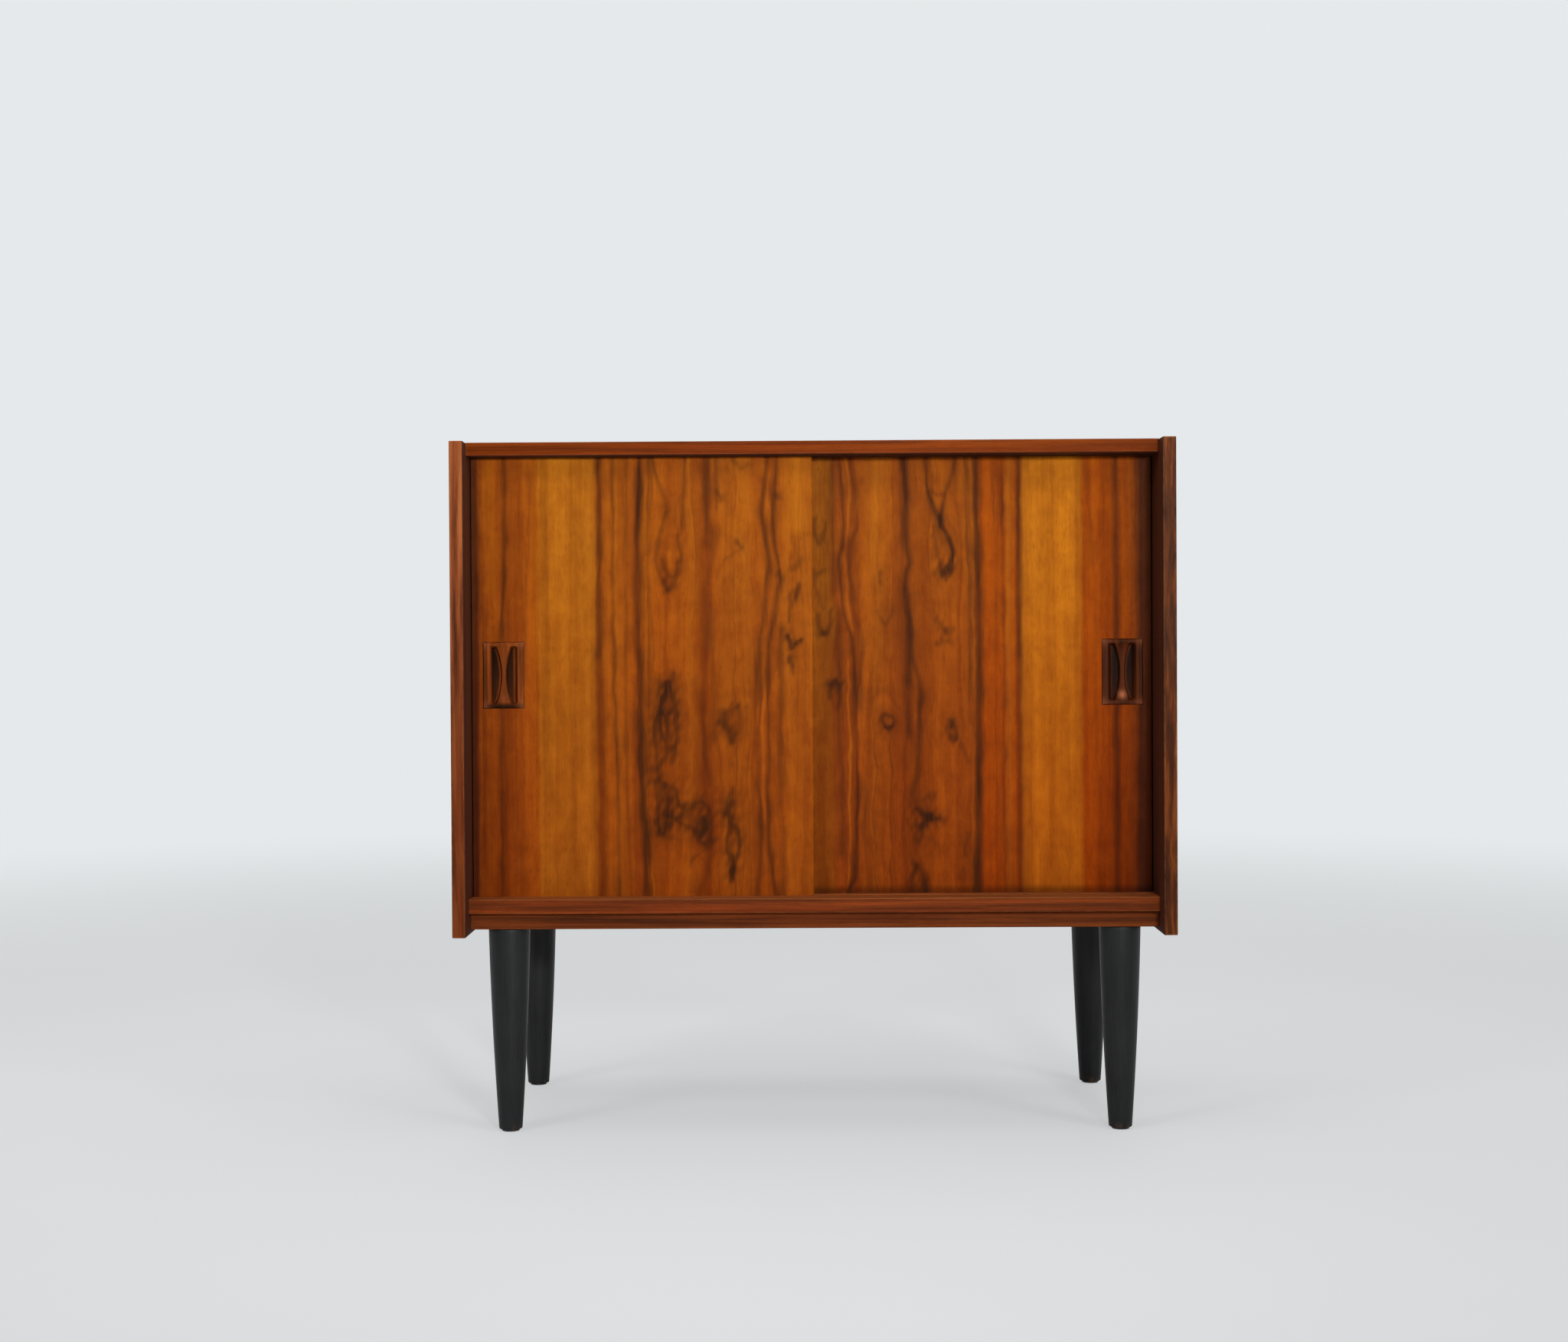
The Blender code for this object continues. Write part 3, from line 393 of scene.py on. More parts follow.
RIGHT_VEINS = (
    (4.2, 0.66, {270: 196, 320: 198, 358: 198, 450: 199.5, 477: 198, 520: 201, 621: 201, 678: 199.5,
        715: 198, 752: 197, 820: 197}),
    (2.0, 0.42, {490: 189.5, 547: 188.5, 593: 189.5, 640: 189, 700: 187, 820: 184}),
    (3.0, 0.40, {478: 116, 500: 116, 536: 115}),
    (4.2, 0.76, {536: 115, 574: 116.5, 602: 117.5, 630: 114, 650: 111, 668: 113, 680: 117, 692: 115.5,
        715: 112, 770: 111, 820: 109.5}),
    (3.2, 0.54, {400: 118, 426: 126, 444: 127, 482: 127.5, 501: 128, 517: 130, 528: 129, 547: 126,
        565: 120}),
    (7.0, 0.16, {440: 112, 500: 113, 560: 108, 640: 108}),
    (2.6, 0.62, {732: 153.5, 738: 150, 751: 144, 770: 139, 820: 137}),
    (2.6, 0.60, {732: 154, 745: 156, 760: 160, 778: 166, 790: 171, 802: 173}),
    (2.6, 0.40, {650: 25, 700: 25, 760: 24, 820: 27}),
    (2.2, 0.60, {270: 38, 285: 42, 302: 50, 320: 51, 343: 51, 367: 52.5, 394: 54, 422: 54, 457: 52,
        509: 51, 537: 50, 556: 50, 574: 48, 595: 45.5, 602: 42, 626: 37, 660: 33, 686: 33, 706: 37,
        750: 37.5, 795: 34, 820: 32}),
    (2.8, 0.16, {270: 38, 285: 42, 302: 50, 320: 51, 367: 52.5, 422: 54}),
    (3.2, 0.44, {505: 57, 524: 57, 574: 59, 597: 57, 618: 51, 631: 49, 660: 45, 680: 44.5, 706: 47,
        726: 55, 763: 52.5, 795: 47, 820: 46}),
    (3.0, 0.30, {270: 70, 302: 67, 320: 64.5, 357: 61.5, 385: 62.5, 405: 64}),
    (4.0, 0.46, {330: 33, 370: 36, 385: 35, 450: 34, 520: 32, 574: 32, 620: 33}),
    (1.6, 0.26, {270: 220, 500: 221, 820: 218}),
    (1.9, 0.40, {270: 231, 385: 230, 604: 230, 820: 228}),
    (3.2, 0.58, {570: 249, 640: 248, 720: 248, 820: 247}),
    (4.4, 0.26, {270: 248, 420: 248, 560: 249}),
    (2.2, 0.34, {270: 364, 500: 365, 820: 364}),
    (1.8, 0.24, {270: 345, 385: 344, 480: 341, 659: 339, 769: 331, 820: 331}),
    (20.0, 0.12, {560: 80, 600: 82, 650: 80}),
)

# Strokes round the knots: half width, darkness, and points (place out, height)
LEFT_STROKES = (
    (2.5, 0.54, ((174.5, 742), (178, 728), (182, 711), (185, 696), (185.8, 682), (183, 668), (177.5, 656),
        (171.7, 649))),
    (2.4, 0.48, ((171.7, 649), (165.5, 655), (159.5, 666), (156.6, 681), (158.5, 697), (161, 712))),
    (2.4, 0.50, ((178, 684), (175.5, 673), (171, 665.5), (166, 664.5), (162, 670), (160.5, 680))),
    (3.2, 0.46, ((175, 658), (172, 651), (168, 658))),
    (9.0, 0.08, ((172, 700), (172, 655))),
    (11.0, 0.18, ((176, 528), (177, 484), (177, 450))),
    (10.0, 0.24, ((182, 425), (178, 400), (180, 366))),
    (11.0, 0.20, ((166, 380), (150, 377), (132, 370))),
    (10.0, 0.16, ((97, 500), (97, 478))),
    (8.0, 0.18, ((98, 400), (96, 350), (98, 312))),
    (3.0, 0.36, ((97, 812), (91, 799), (84, 793), (76, 799))),
    (2.6, 0.42, ((91, 708), (88, 704), (84, 698))),
    (1.6, 0.22, ((90, 695), (98, 687), (108, 678), (114, 664))),
    (3.0, 0.30, ((114, 765), (109, 760), (107, 754))),
    (1.8, 0.40, ((166, 549), (168, 540), (173, 534))),
    (3.6, 0.74, ((174.5, 536), (175.5, 531))),
    (3.0, 0.64, ((176, 530), (181, 515), (185, 504), (188, 484), (188.5, 465), (187, 445), (185, 425))),
    (2.8, 0.66, ((177, 523), (178.5, 517))),
    (2.8, 0.58, ((170, 529), (167, 521), (165.5, 511), (163.5, 484), (164.5, 462), (168, 445))),
    (3.4, 0.72, ((180, 503), (176, 498), (172, 501))),
    (2.5, 0.62, ((181, 497), (183, 484), (181, 474), (177, 470), (173.5, 476), (173, 488), (176, 497))),
    (3.2, 0.66, ((171, 461), (176, 450), (183.5, 441), (187, 436))),
    (3.6, 0.72, ((188, 421), (184, 420), (178, 414))),
    (4.2, 0.80, ((176, 416), (175.5, 405), (174.5, 392), (175, 378))),
    (2.8, 0.76, ((165, 412), (164, 402), (162, 393), (157, 390))),
    (3.2, 0.64, ((186, 410), (186, 390), (187, 372), (184, 361), (180.5, 355), (176, 361), (174, 370))),
    (3.4, 0.62, ((172, 378), (165, 376), (158, 380), (148, 388), (136, 394), (128, 389), (124, 376),
        (126, 362))),
    (3.0, 0.54, ((166, 374), (156, 368), (146, 362), (139, 355))),
    (5.2, 0.86, ((132, 377), (131, 363))),
    (3.2, 0.72, ((137, 360), (136, 349), (129, 346), (124, 349))),
    (2.2, 0.32, ((126, 340), (135, 334), (144, 327), (147, 322))),
    (3.6, 0.72, ((107, 490), (105, 499), (99, 503), (91, 508))),
    (3.6, 0.68, ((106, 484), (101, 479), (96, 476), (92, 478))),
    (2.6, 0.58, ((91, 508), (87, 498), (88, 485), (93, 475), (96, 465))),
    (2.2, 0.40, ((107, 487), (104, 477), (97, 465))),
    (2.4, 0.44, ((98, 472), (95.5, 466))),
    (2.2, 0.30, ((107, 500), (107.5, 490), (105, 483))),
    (2.0, 0.34, ((99, 445), (98.5, 440))),
    (4.6, 0.72, ((98, 398), (101, 391), (102.5, 383))),
    (2.4, 0.46, ((97, 412), (97, 402))),
    (2.8, 0.54, ((102, 380), (99, 366), (102.5, 352), (102.5, 335), (98, 322), (98.5, 305))),
    (2.6, 0.50, ((99, 366), (91, 361), (89, 350), (90.5, 335), (96, 322), (98, 310))),
    (3.0, 0.46, ((98, 312), (98.5, 303))),
    (2.8, 0.30, ((13, 686), (17, 679), (24, 672))),
    (2.6, 0.42, ((16, 652), (19, 645), (21, 638))),
    (2.8, 0.66, ((30, 594), (27, 585), (24.5, 578), (21, 582), (15, 588))),
    (3.2, 0.70, ((28, 565), (27, 560))),
    (2.0, 0.46, ((25, 555), (23.5, 548))),
    (3.0, 0.46, ((44, 764), (40.5, 759))),
    (3.4, 0.46, ((40, 668), (37.5, 661))),
    (2.2, 0.30, ((28, 640), (27, 625), (29, 610))),
)
RIGHT_STROKES = (
    (2.4, 0.46, ((4, 733), (4, 719), (9.5, 704), (14, 715), (15.5, 730))),
    (2.8, 0.50, ((4, 668), (9, 670), (13, 672))),
    (2.0, 0.30, ((2, 664), (5, 650), (9, 638), (12, 626))),
    (2.4, 0.50, ((6, 620), (8, 602), (13, 593), (18.5, 599), (21, 614), (21.5, 622))),
    (2.8, 0.50, ((11, 594), (15, 594))),
    (4.0, 0.80, ((22, 534), (25.5, 537), (29, 534))),
    (2.4, 0.56, ((21, 532), (20.5, 518))),
    (2.4, 0.44, ((31, 532), (32, 520), (30, 506))),
    (2.4, 0.46, ((82, 668), (82.3, 656))),
    (1.8, 0.30, ((78, 622), (83, 612), (87.5, 606), (92, 614), (98, 628))),
    (2.6, 0.50, ((83, 494), (86, 498), (92, 497), (96, 491), (95, 485), (89.5, 481), (85, 485), (83, 491))),
    (3.0, 0.50, ((91, 484), (88, 482))),
    (1.8, 0.18, ((70, 512), (76, 522), (84, 526), (94, 518), (103, 505))),
    (3.4, 0.66, ((165.5, 491), (167, 484))),
    (3.6, 0.70, ((169, 472), (172, 467))),
    (2.2, 0.42, ((165, 484), (163.5, 476), (167, 468))),
    (2.2, 0.46, ((169, 490), (173.5, 480), (174, 471))),
    (2.2, 0.58, ((146, 724), (148.5, 705), (150, 690), (154, 674), (158.5, 665))),
    (2.6, 0.74, ((153, 732), (154, 724), (159.5, 714), (166, 701), (169.5, 690), (168, 680), (163, 671),
        (158.5, 665))),
    (4.2, 0.72, ((154, 668), (159, 664), (164, 670))),
    (2.2, 0.50, ((166, 684), (164, 678), (159, 673), (155, 678))),
    (2.0, 0.34, ((144, 767), (152, 762), (159, 763))),
    (3.0, 0.32, ((149, 613), (153, 606), (157, 600))),
    (3.0, 0.30, ((160, 600), (164, 598), (167, 601))),
    (2.8, 0.42, ((150, 583), (154, 582))),
    (2.6, 0.36, ((161, 587), (165, 584))),
    (10.0, 0.24, ((127, 384), (129, 362), (126, 344))),
    (9.0, 0.16, ((159, 712), (160, 676))),
    (4.4, 0.84, ((124, 382), (131, 378), (139, 375))),
    (3.0, 0.66, ((139, 375), (146, 372), (152, 373))),
    (3.6, 0.78, ((124, 361), (130, 363), (138, 370))),
    (3.0, 0.70, ((132, 362), (129, 352), (125, 346))),
    (3.0, 0.30, ((122, 390), (134, 396), (143, 400))),
    (2.4, 0.34, ((136, 350), (144, 346), (151, 339), (154, 331))),
    (3.4, 0.60, ((124, 316), (120, 303), (118, 290), (118, 276))),
    (3.4, 0.60, ((125, 316), (131, 306), (134, 292), (134, 276))),
    (2.4, 0.34, ((186, 355), (184, 342), (181, 330))),
    (2.2, 0.28, ((179, 312), (177, 300))),
    (2.4, 0.26, ((178, 460), (182, 450), (186, 440))),
)

# Pale lines beside the veins: half width, strength, and places out by height
LEFT_PALE = (
    (9.0, 0.60, {722: 18, 760: 18, 820: 18}),
    (1.7, 0.34, {270: 193, 340: 194, 420: 196.5, 560: 198.5, 820: 199}),
    (1.8, 0.26, {270: 56, 345: 58, 452: 60, 548: 59, 597: 55, 645: 48, 682: 47, 737: 53, 820: 48}),
    (8.0, 0.22, {650: 390, 740: 390, 820: 390}),
    (4.0, 0.45, {676: 171.5, 692: 171.5}),
    (3.0, 0.55, {480: 178, 488: 178}),
    (4.5, 0.40, {376: 140, 382: 140}),
    (2.0, 0.45, {332: 95, 356: 94}),
)
RIGHT_PALE = (
    (1.7, 0.32, {270: 190, 450: 193.5, 520: 195, 678: 193.5, 752: 191, 820: 191}),
    (1.8, 0.45, {280: 34, 302: 42, 440: 44.5, 500: 43, 560: 41}),
    (1.6, 0.40, {600: 48, 640: 42, 690: 40, 750: 45, 820: 40}),
    (3.0, 0.40, {676: 161, 683: 161}),
    (5.0, 0.25, {560: 72, 640: 70, 740: 74, 820: 76}),
)


# Figure of the veneer

def drift(across, height, seed, width, length):
    """Slow unevenness of about -1 to 1: a sum of sine waves, each with its own pitch, lean and start."""
    random = np.random.default_rng(seed)
    total = np.zeros(np.broadcast(across, height).shape)
    for pitch, rise, start in random.uniform((-1, -1, 0), (1, 1, 1), (DRIFT_WAVES, 3)):
        total += np.sin(2 * np.pi * (across * pitch / width + height * rise / length + start))
    return total / DRIFT_WAVES**0.5


def unevenness(kind, across, height, seed):
    """The sum of the drifts of one kind, each times its size."""
    return sum(size * drift(across, height, seed + draw, *reach) for size, *reach, draw in UNEVEN[kind])


def rounded_path(points):
    """A smooth line through the listed points: cubics between them, whose slopes follow their neighbours."""
    points = np.array(points, float)
    padded = np.vstack([2 * points[0] - points[1], points, 2 * points[-1] - points[-2]])
    before, first, second, after = (padded[shift : len(points) - 1 + shift, None] for shift in range(4))
    share = np.linspace(0, 1, PATH_STEPS, endpoint=False)[:, None]
    bend = share * (3 * (first - second) + after - before)
    slope = second - before + share * (2 * before - 5 * first + 4 * second - after + bend)
    return np.vstack([(first + share / 2 * slope).reshape(-1, 2), points[-1:]])


def vein_distance(across, height, points):
    """Distance across the grain to a vein that runs up the board."""
    heights, places = rounded_path(list(points.items())).T
    return across - np.interp(height, np.maximum.accumulate(heights), places)


def stroke_distance(across, height, points):
    """Distance to a line that turns any way: the least of those to its short straight lengths."""
    nearest = np.full(across.shape, np.inf)
    path = rounded_path(points)
    for (out, level), (run, rise) in zip(path, np.diff(path, axis=0)):
        share = np.clip(((across - out) * run + (height - level) * rise) / (run**2 + rise**2), 0, 1)
        nearest = np.minimum(nearest, np.hypot(across - out - share * run, height - level - share * rise))
    return nearest


def fade_ends(height, points):
    """1 along a vein, falling to 0 over the fade beyond its ends."""
    below = np.clip((height - min(points)) / VEIN_FADE + 1, 0, 1)
    return below * np.clip((max(points) - height) / VEIN_FADE + 1, 0, 1)


def dark_line(distance, width):
    """A vein's profile: a dark core, and a faint flank that is wider, both bell curves."""
    core = np.exp(-((distance / (VEIN_SPREAD * width)) ** 2))
    return VEIN_CORE * core + (1 - VEIN_CORE) * np.exp(-((distance / (VEIN_FLANK * width)) ** 2))


def veneer_figure(across, height, seed, knots, veins, strokes, pale):
    """Growth, the place that a plain stripe would have, and vein strength, for points in millimetres.

    Growth wanders slowly and is parted round each knot. Veins and strokes are laid over each other as glazes
    and count up to 1; pale lines count down to -1.
    """
    uneven = {kind: unevenness(kind, across, height, seed) for kind in UNEVEN}
    growth = across + uneven["wander"] * np.clip(CALM_START - across / CALM_REACH, CALM_LEAST, 1)
    wide, high = KNOT_REACH
    for place, level, half_width, half_height in knots:
        reach = np.hypot((across - place) / (wide * half_width), (height - level) / (high * half_height))
        growth = growth - KNOT_PARTING * (growth - place) * np.exp(-(reach**2))
    bent = across + uneven["bend"]
    lift = height + uneven["lift"]
    strength = VEIN_STRENGTH * (1 + uneven["strength"])
    swell = np.clip(1 + uneven["swell"], *SWELL_LIMITS)
    blot = np.clip(BLOT_MEAN + uneven["blot"], *BLOT_LIMITS)
    light = np.ones_like(growth)
    for width, darkness, points in veins:
        line = dark_line(vein_distance(bent, height, points), width * swell) * fade_ends(lift, points)
        light *= 1 - np.clip(darkness * strength, 0, DARKEST) * line
    for width, darkness, points in strokes:
        line = dark_line(stroke_distance(bent, lift, points), width * blot)
        light *= 1 - np.clip(darkness * strength, 0, DARKEST) * line
    dull = np.ones_like(growth)
    for width, gleam, points in pale:
        line = np.exp(-((vein_distance(bent, height, points) / width) ** 2))
        dull *= 1 - gleam * line * fade_ends(lift, points)
    return growth, (1 - light) - (1 - dull) * light


# Meshes

def mesh_piece(name, points, faces, material, body, node, slot):
    """A closed piece from its points and faces, riding on a body and standing for a solid."""
    mesh = bpy.data.meshes.new(name)
    mesh.from_pydata(points, [], faces)
    shape = bmesh.new()
    shape.from_mesh(mesh)
    bmesh.ops.recalc_face_normals(shape, faces=shape.faces)
    shape.to_mesh(mesh)
    shape.free()
    mesh.shade_smooth()
    mesh.set_sharp_from_angle(angle=math.radians(SHARP[slot]))
    mesh.materials.append(material)
    piece = bpy.data.objects.new(name, mesh)
    bpy.context.scene.collection.objects.link(piece)
    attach(piece, body)
    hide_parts(node)
    return piece


def add_attribute(piece, name, values):
    """Three numbers for each point of a piece, for its finish to read."""
    attribute = piece.data.attributes.new(name, "FLOAT_VECTOR", "POINT")
    attribute.data.foreach_set("vector", values.ravel())


def grid_faces(rows, columns, wrap_columns=False):
    """Quads of a grid whose points run along its rows; a wrapped one joins its last column to its first."""
    row = np.arange(rows - 1)
    column = np.arange(columns if wrap_columns else columns - 1)
    row, column = np.meshgrid(row, column, indexing="ij")
    this, following = row * columns, (row + 1) * columns
    after = (column + 1) % columns
    corners = (this + column, this + after, following + after, following + column)
    return np.stack(corners, -1).reshape(-1, 4).tolist()


def tube_faces(rows, columns):
    """Faces of a wrapped grid, with its first and last rows closed."""
    ring = np.arange(columns)
    ends = [ring.tolist(), (ring + (rows - 1) * columns).tolist()]
    return grid_faces(rows, columns, wrap_columns=True) + ends


def grid_rim(rows, columns):
    """Indices of a grid's outer points, once round."""
    index = np.arange(rows * columns).reshape(rows, columns)
    return np.concatenate([index[:, 0], index[-1, 1:], index[-2::-1, -1], index[0, -2:0:-1]])


def block_faces(rows, columns, rings):
    """Faces of a grid with rings of points hung below its rim, one under another, the last one closed."""
    rim = grid_rim(rows, columns)
    below = rows * columns + np.arange(rings * len(rim)).reshape(rings, -1)
    rounds = np.concatenate([rim[None], below])
    upper, lower = rounds[:-1], rounds[1:]
    sides = np.stack([upper, lower, np.roll(lower, -1, axis=1), np.roll(upper, -1, axis=1)], -1)
    return grid_faces(rows, columns) + sides.reshape(-1, 4).tolist() + [below[-1].tolist()]


def spaced(low, high, pitch):
    """Even steps from low to high, no longer than the pitch."""
    return np.linspace(low, high, math.ceil((high - low) / pitch) + 1)


def stepped(places, walls):
    """Grid places with each wall put in twice, a hair apart, so that the grid can drop straight down."""
    clear = [place for place in places if all(abs(place - wall) > WALL_CLEAR for wall in walls)]
    pairs = [wall + side * WALL_STEP / 2 for wall in walls for side in (-1, 1)]
    return np.array(sorted([*clear, *pairs]))


def soft_step(value, reach):
    """0 below zero, 1 above the reach, with a smooth cubic rise between."""
    share = np.clip(value / reach, 0, 1)
    return share * share * (3 - 2 * share)


def door_outline(low, high, walls):
    """Outline (y, z) of a door: up its face, over the upper tongue, down its back and under, corners eased.

    Also how many of its points lie on the face.
    """
    ease = DOOR_EASE
    front = stepped(spaced(low.z + ease, high.z - ease, UPRIGHT_PITCH), walls)
    face, tongue, back = low.y, low.y + DOOR_TONGUE, high.y
    rest = (
        (face + ease, high.z),
        (tongue - ease, high.z),
        (tongue, high.z - ease),
        (tongue, UPPER_SHOULDER),
        (back - ease, UPPER_SHOULDER),
        (back, UPPER_SHOULDER - ease),
        (back, LOWER_SHOULDER + ease),
        (back - ease, LOWER_SHOULDER),
        (tongue, LOWER_SHOULDER),
        (tongue, low.z + ease),
        (tongue - ease, low.z),
        (face + ease, low.z),
    )
    return np.vstack([np.stack([np.full(len(front), face), front], -1), np.array(rest)]), len(front)


def build_door(side, stripes, *figure_parts):
    """A door: its outline is carried across in fine steps; the face drops back where a pull is let in."""
    node = f"{side}_door"
    sign = SIGNS[side]
    low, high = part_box(node)
    pull_low, pull_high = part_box(f"{side}_door_pull")
    x_walls = (pull_low.x - MORTISE_PLAY, pull_high.x + MORTISE_PLAY)
    z_walls = (pull_low.z - MORTISE_PLAY, pull_high.z + MORTISE_PLAY)
    outline, on_face = door_outline(low, high, z_walls)
    inner, outer = sorted((low.x, high.x), key=abs)
    turn_over = sign * FIGURED_WIDTH
    figured = spaced(*sorted((inner + sign * DOOR_EASE, turn_over)), FIGURED_PITCH)
    striped = spaced(*sorted((turn_over, outer - sign * DOOR_EASE)), STRIPED_PITCH)
    places = stepped(np.unique(np.round(np.concatenate([figured, striped]), 7)), x_walls)
    x, y = np.meshgrid(places, outline[:, 0], indexing="ij")
    z = np.broadcast_to(outline[:, 1], x.shape)
    let_in = (x > x_walls[0]) & (x < x_walls[1]) & (z > z_walls[0]) & (z < z_walls[1])
    y = y + MORTISE_DEPTH * (let_in & (np.arange(len(outline)) < on_face))
    middle = np.array(((low.y + high.y) / 2, (low.z + high.z) / 2))
    half = np.array(((high.y - low.y) / 2, (high.z - low.z) / 2))
    drawn_in = middle + (outline - middle) * (1 - DOOR_EASE / half)
    ends = [np.column_stack([np.full(len(outline), end), drawn_in]) for end in (low.x, high.x)]
    points = np.vstack([ends[0], np.stack([x, y, z], -1).reshape(-1, 3), ends[1]])
    faces = tube_faces(len(places) + len(ends), len(outline))
    finish = door_finish(f"{side}_door_veneer", stripes, DOOR_SHADES[side])
    body = f"{side}_sliding_door"
    piece = mesh_piece(f"{side}_door_dressed", points, faces, finish, body, node, "door_veneer")
    out, height = 1000 * sign * points[:, 0], 1000 * points[:, 2]
    growth, vein = veneer_figure(out, height, DOOR_SEEDS[side], *figure_parts)
    vein = vein * (points[:, 1] < low.y + DOOR_TONGUE / 2)
    add_attribute(piece, "figure", np.stack([growth / 1000, vein, points[:, 2]], -1))


def pull_depth(across, up, half_width, half_height):
    """Depth of a pull's face: two finger hollows beside a waisted rib that dips between its ends.

    The hollows fall away smoothly from the rim and from the rib, and the outer arris is rounded over.
    """
    hollow_width = half_width - PULL_RIM
    hollow_height = half_height - PULL_END_RIM
    rise = np.clip(np.abs(up) / hollow_height, 0, 1)
    half_rib = (RIB_WAIST + (RIB_END_WIDTH - RIB_WAIST) * rise**2) / 2
    hollow = HOLLOW_DEPTH * soft_step(hollow_width - np.abs(across), HOLLOW_SLOPE)
    hollow = hollow * soft_step(np.abs(across) - half_rib, RIB_WALL)
    hollow = hollow * soft_step(hollow_height - np.abs(up), HOLLOW_END)
    dip = RIB_DIP * (1 - rise**4) * soft_step(hollow_width - np.abs(across), RIB_ROUND)
    edge = np.minimum(half_width - np.abs(across), half_height - np.abs(up))
    rounded = PULL_ROUND * (1 - soft_step(edge, PULL_ROUND)) ** 2
    return np.maximum(hollow, dip) + rounded


def pull_shade_and_highlight(side, across, up, half_width, half_height):
    """Shares of painted shade and of painted highlight on a pull's face.

    Painted shade lies where the hollows are deep, both as they are and moved towards the cabinet's side,
    along the foot, and on the rim nearer the side. Corners get a painted highlight, partly wear, and the
    rib's foot a painted highlight, both in bell curves.
    """
    sign = SIGNS[side]
    hollow_width = half_width - PULL_RIM
    everywhere, sideward, upward = HOLLOW_SHADE_SHARES
    foot_shade, rib_foot_highlight = PULL_FOOT_SHADE_AND_HIGHLIGHT[side]
    depth = pull_depth(across, up, half_width, half_height)
    moved = pull_depth(across - sign * HOLLOW_SHADE_SHIFT, up, half_width, half_height)
    outward = (sign * across % hollow_width) / hollow_width
    hollow = np.minimum(moved, depth) / HOLLOW_DEPTH
    hollow = hollow * (everywhere + sideward * outward + upward * up / half_height)
    foot = foot_shade * (1 - soft_step(up + half_height - PULL_END_RIM / 2, 2 * PULL_END_RIM))
    rim = SIDE_RIM_SHADE * soft_step(sign * across - hollow_width, PULL_RIM / 3)
    corner = np.hypot(half_width - np.abs(across), half_height - np.abs(up)) / PULL_RIM
    level, spread, lift = RIB_HIGHLIGHT
    rib = np.hypot(across / spread, (up + level * (half_height - PULL_END_RIM)) / lift)
    shade_share = np.clip(np.maximum(hollow, np.maximum(foot, rim)), 0, 1)
    return shade_share, np.maximum(CORNER_HIGHLIGHT_AND_WEAR * np.exp(-(corner**2)), rib_foot_highlight * np.exp(-(rib**2)))


def build_pull(side):
    """A let-in pull: a fine grid of depths for its face, a skirt to its back, and the back."""
    node = f"{side}_door_pull"
    low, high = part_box(node)
    half = half_width, half_height = (high.x - low.x) / 2, (high.z - low.z) / 2
    across = spaced(-half_width, half_width, PULL_PITCH)
    up = spaced(-half_height, half_height, PULL_PITCH)
    out, rise = np.meshgrid(across, up, indexing="ij")
    depth = pull_depth(out, rise, *half)
    face = np.stack([low.x + half_width + out, low.y + depth, low.z + half_height + rise], -1).reshape(-1, 3)
    skirt = face[grid_rim(*out.shape)]
    skirt[:, 1] = high.y
    points = np.vstack([face, skirt])
    faces = block_faces(*out.shape, rings=1)
    finish = pull_finish(f"{side}_pull_wood", PULL_TINTS[side])
    body = f"{side}_sliding_door"
    piece = mesh_piece(f"{side}_pull_carved", points, faces, finish, body, node, "pull_wood")
    # Shares of painted shade and of painted highlight on the pull's face, for its finish to read
    shares = np.zeros((len(points), 3))
    shares[: out.size, :2] = np.stack(pull_shade_and_highlight(side, out, rise, *half), -1).reshape(-1, 2)
    add_attribute(piece, "carving", shares)


def build_leg(node, finish):
    """A turned leg: a bellied taper from top to foot is spun round its axis, with both arrises rounded."""
    low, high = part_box(node)
    centre = (low + high) / 2
    quarter = np.linspace(0, math.pi / 2, LEG_ARRIS_STEPS)
    down = np.linspace(0, 1, LEG_RINGS)
    belly = (1 - LEG_BELLY) * down + LEG_BELLY * down**2
    top, foot = high.z - LEG_ARRIS, low.z + LEG_ARRIS
    over = LEG_TOP_RADIUS - LEG_ARRIS * (1 - np.sin(quarter[:-1])), top + LEG_ARRIS * np.cos(quarter[:-1])
    taper = LEG_TOP_RADIUS - (LEG_TOP_RADIUS - LEG_FOOT_RADIUS) * belly, top + (foot - top) * down
    under = LEG_FOOT_RADIUS - LEG_ARRIS * (1 - np.cos(quarter[1:])), foot - LEG_ARRIS * np.sin(quarter[1:])
    radius, height = np.hstack([over, taper, under])
    turn = np.linspace(0, 2 * math.pi, LEG_SIDES, endpoint=False)
    x = centre.x + np.outer(radius, np.cos(turn))
    y = centre.y + np.outer(radius, np.sin(turn))
    z = np.broadcast_to(height[:, None], x.shape)
    points = np.stack([x, y, z], -1).reshape(-1, 3)
    faces = tube_faces(len(radius), LEG_SIDES)
    mesh_piece(f"{node}_turned", points, faces, finish, "case", node, "leg_black")


